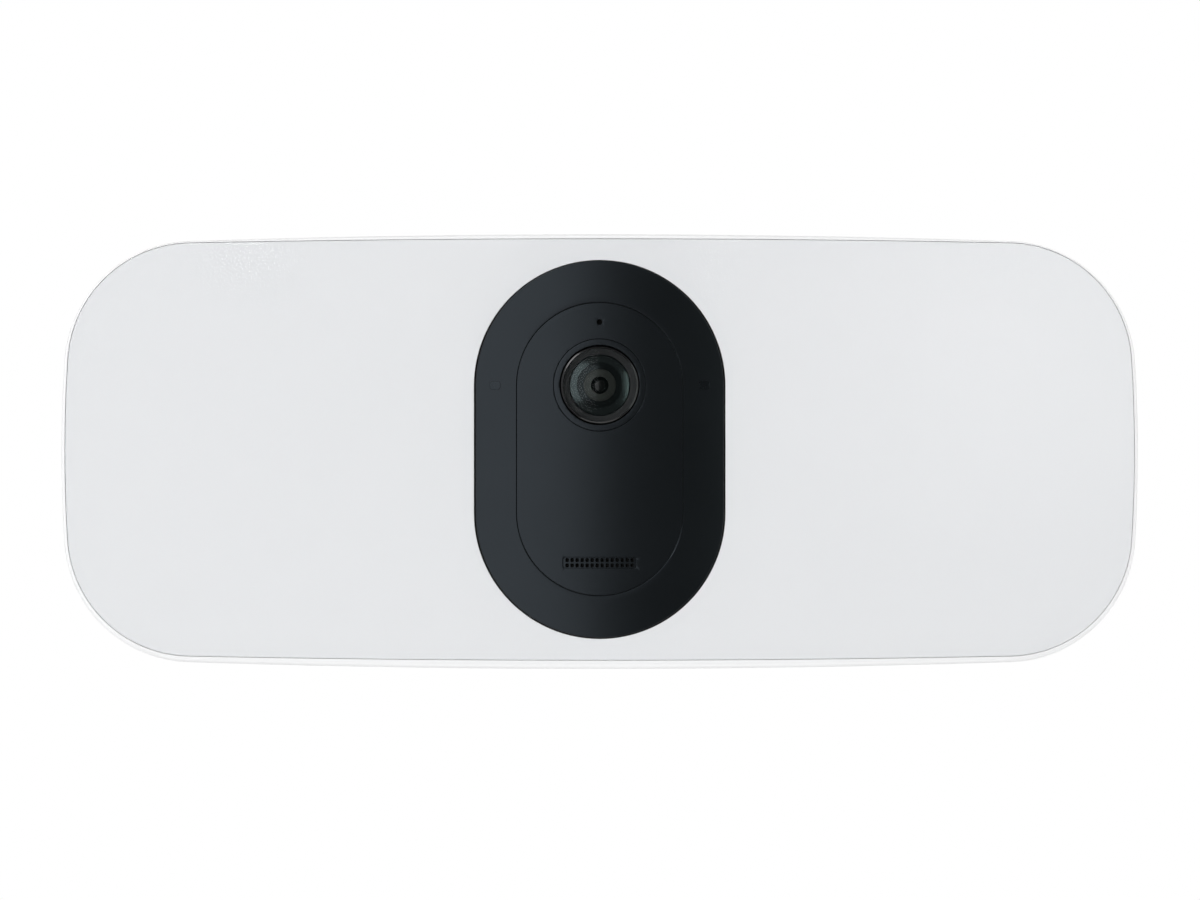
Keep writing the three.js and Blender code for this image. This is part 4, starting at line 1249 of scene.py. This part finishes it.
def studio_world():
    """A white backdrop to the eye; as light, dim in front and brightest from the sides."""
    world = bpy.data.worlds.new("studio")
    world.use_nodes = True
    nodes, links = world.node_tree.nodes, world.node_tree.links
    nodes.clear()
    coordinates = nodes.new("ShaderNodeTexCoord")
    split = nodes.new("ShaderNodeSeparateXYZ")
    links.new(coordinates.outputs["Generated"], split.inputs["Vector"])
    depth = nodes.new("ShaderNodeMapRange")
    depth.inputs["From Min"].default_value = -1
    links.new(split.outputs["Y"], depth.inputs["Value"])
    shares = nodes.new("ShaderNodeValToRGB")
    shares.color_ramp.interpolation = "EASE"
    stops = shares.color_ramp.elements
    stops.remove(stops[1])
    for i, (direction, share) in enumerate(WORLD_SHARES):
        stop = stops.new((direction + 1) / 2) if i else stops[0]
        stop.position = (direction + 1) / 2
        stop.color = (share, share, share, 1)
    links.new(depth.outputs["Result"], shares.inputs["Fac"])
    lit = nodes.new("ShaderNodeBackground")
    lit.inputs["Strength"].default_value = WORLD_STRENGTH
    links.new(shares.outputs["Color"], lit.inputs["Color"])
    seen = nodes.new("ShaderNodeBackground")
    seen.inputs["Color"].default_value = (1, 1, 1, 1)
    rays = nodes.new("ShaderNodeLightPath")
    mix = nodes.new("ShaderNodeMixShader")
    links.new(rays.outputs["Is Camera Ray"], mix.inputs["Fac"])
    links.new(lit.outputs["Background"], mix.inputs[1])
    links.new(seen.outputs["Background"], mix.inputs[2])
    output = nodes.new("ShaderNodeOutputWorld")
    links.new(mix.outputs["Shader"], output.inputs["Surface"])
    bpy.context.scene.world = world


def studio_lights(panel_pieces, lens_pieces):
    """The lights, each linked to the pieces that it lights.

    The panel's lights ignore the camera in front of it, so that no shadow lies round it. They do
    without importance sampling, which darkens the panel beside a piece that doesn't block them.
    """
    lit = {name: bpy.data.collections.new(f"lit_{name}") for name in ("panel", "others", "lens")}
    for obj in bpy.context.scene.objects:
        if obj.type == "MESH":
            lit["panel" if obj in panel_pieces else "others"].objects.link(obj)
    for obj in lens_pieces:
        lit["lens"].objects.link(obj)
    for name, (pieces, *settings) in LIGHTS.items():
        light = area_light(name, *settings)
        light.light_linking.receiver_collection = lit[pieces]
        if pieces == "panel":
            light.light_linking.blocker_collection = lit[pieces]
            light.data.cycles.use_multiple_importance_sampling = False


def studio_floor():
    bm = bmesh.new()
    floor_z = cad_low.z - FLOOR_DROP
    middle_y = (cad_low.y + cad_high.y) / 2
    rings = [
        [Vector((x, middle_y + y, floor_z)) for x, y in circle(r, steps=96)] for r in FLOOR_RINGS
    ]
    rows = skin(bm, rings)
    bm.faces.new(rows[0])
    floor = new_object("floor", bm)
    shader = Shader(Roughness=0.9)
    shader.colours(shader.noise(3, 2), (0.9, 0.9, 0.9), (0.92, 0.92, 0.92))
    floor.data.materials.append(shader.material)


# --------------------------------------
# The whole

dress_cad_nodes()
panel_pieces = [panel_shell(), diffuser()]
capsule_gasket()
camera_bezel()
led_windows()
face_plate()
lens_ring()
lens_cover()
lens_barrel()
lens_pieces = lens_elements()
rear_housing()
charge_port()
sync_button()
battery_cap()
release_button()
release_spring()
battery_case()
wall_plate()
base_cover()
pivot_fasteners("pan", "wall_mount", "Z", (0, PAN_Y))
pivot_fasteners("tilt", "head", "X", (TILT_Y, 0))
for side in ("upper", "lower"):
    washer(f"pan_washer_{side}", f"{side}_pan_washer", "wall_mount", "Z", (0, PAN_Y))
for side in ("left", "right"):
    washer(f"tilt_washer_{side}", f"{side}_tilt_washer", "swivel", "X", (TILT_Y, 0))
swivel_block()
tilt_yoke()
for number in range(1, 5):
    yoke_screw(number)

studio_world()
studio_floor()
studio_lights(panel_pieces, lens_pieces)
studio_camera()
scene = bpy.context.scene
scene.view_settings.view_transform = "Standard"
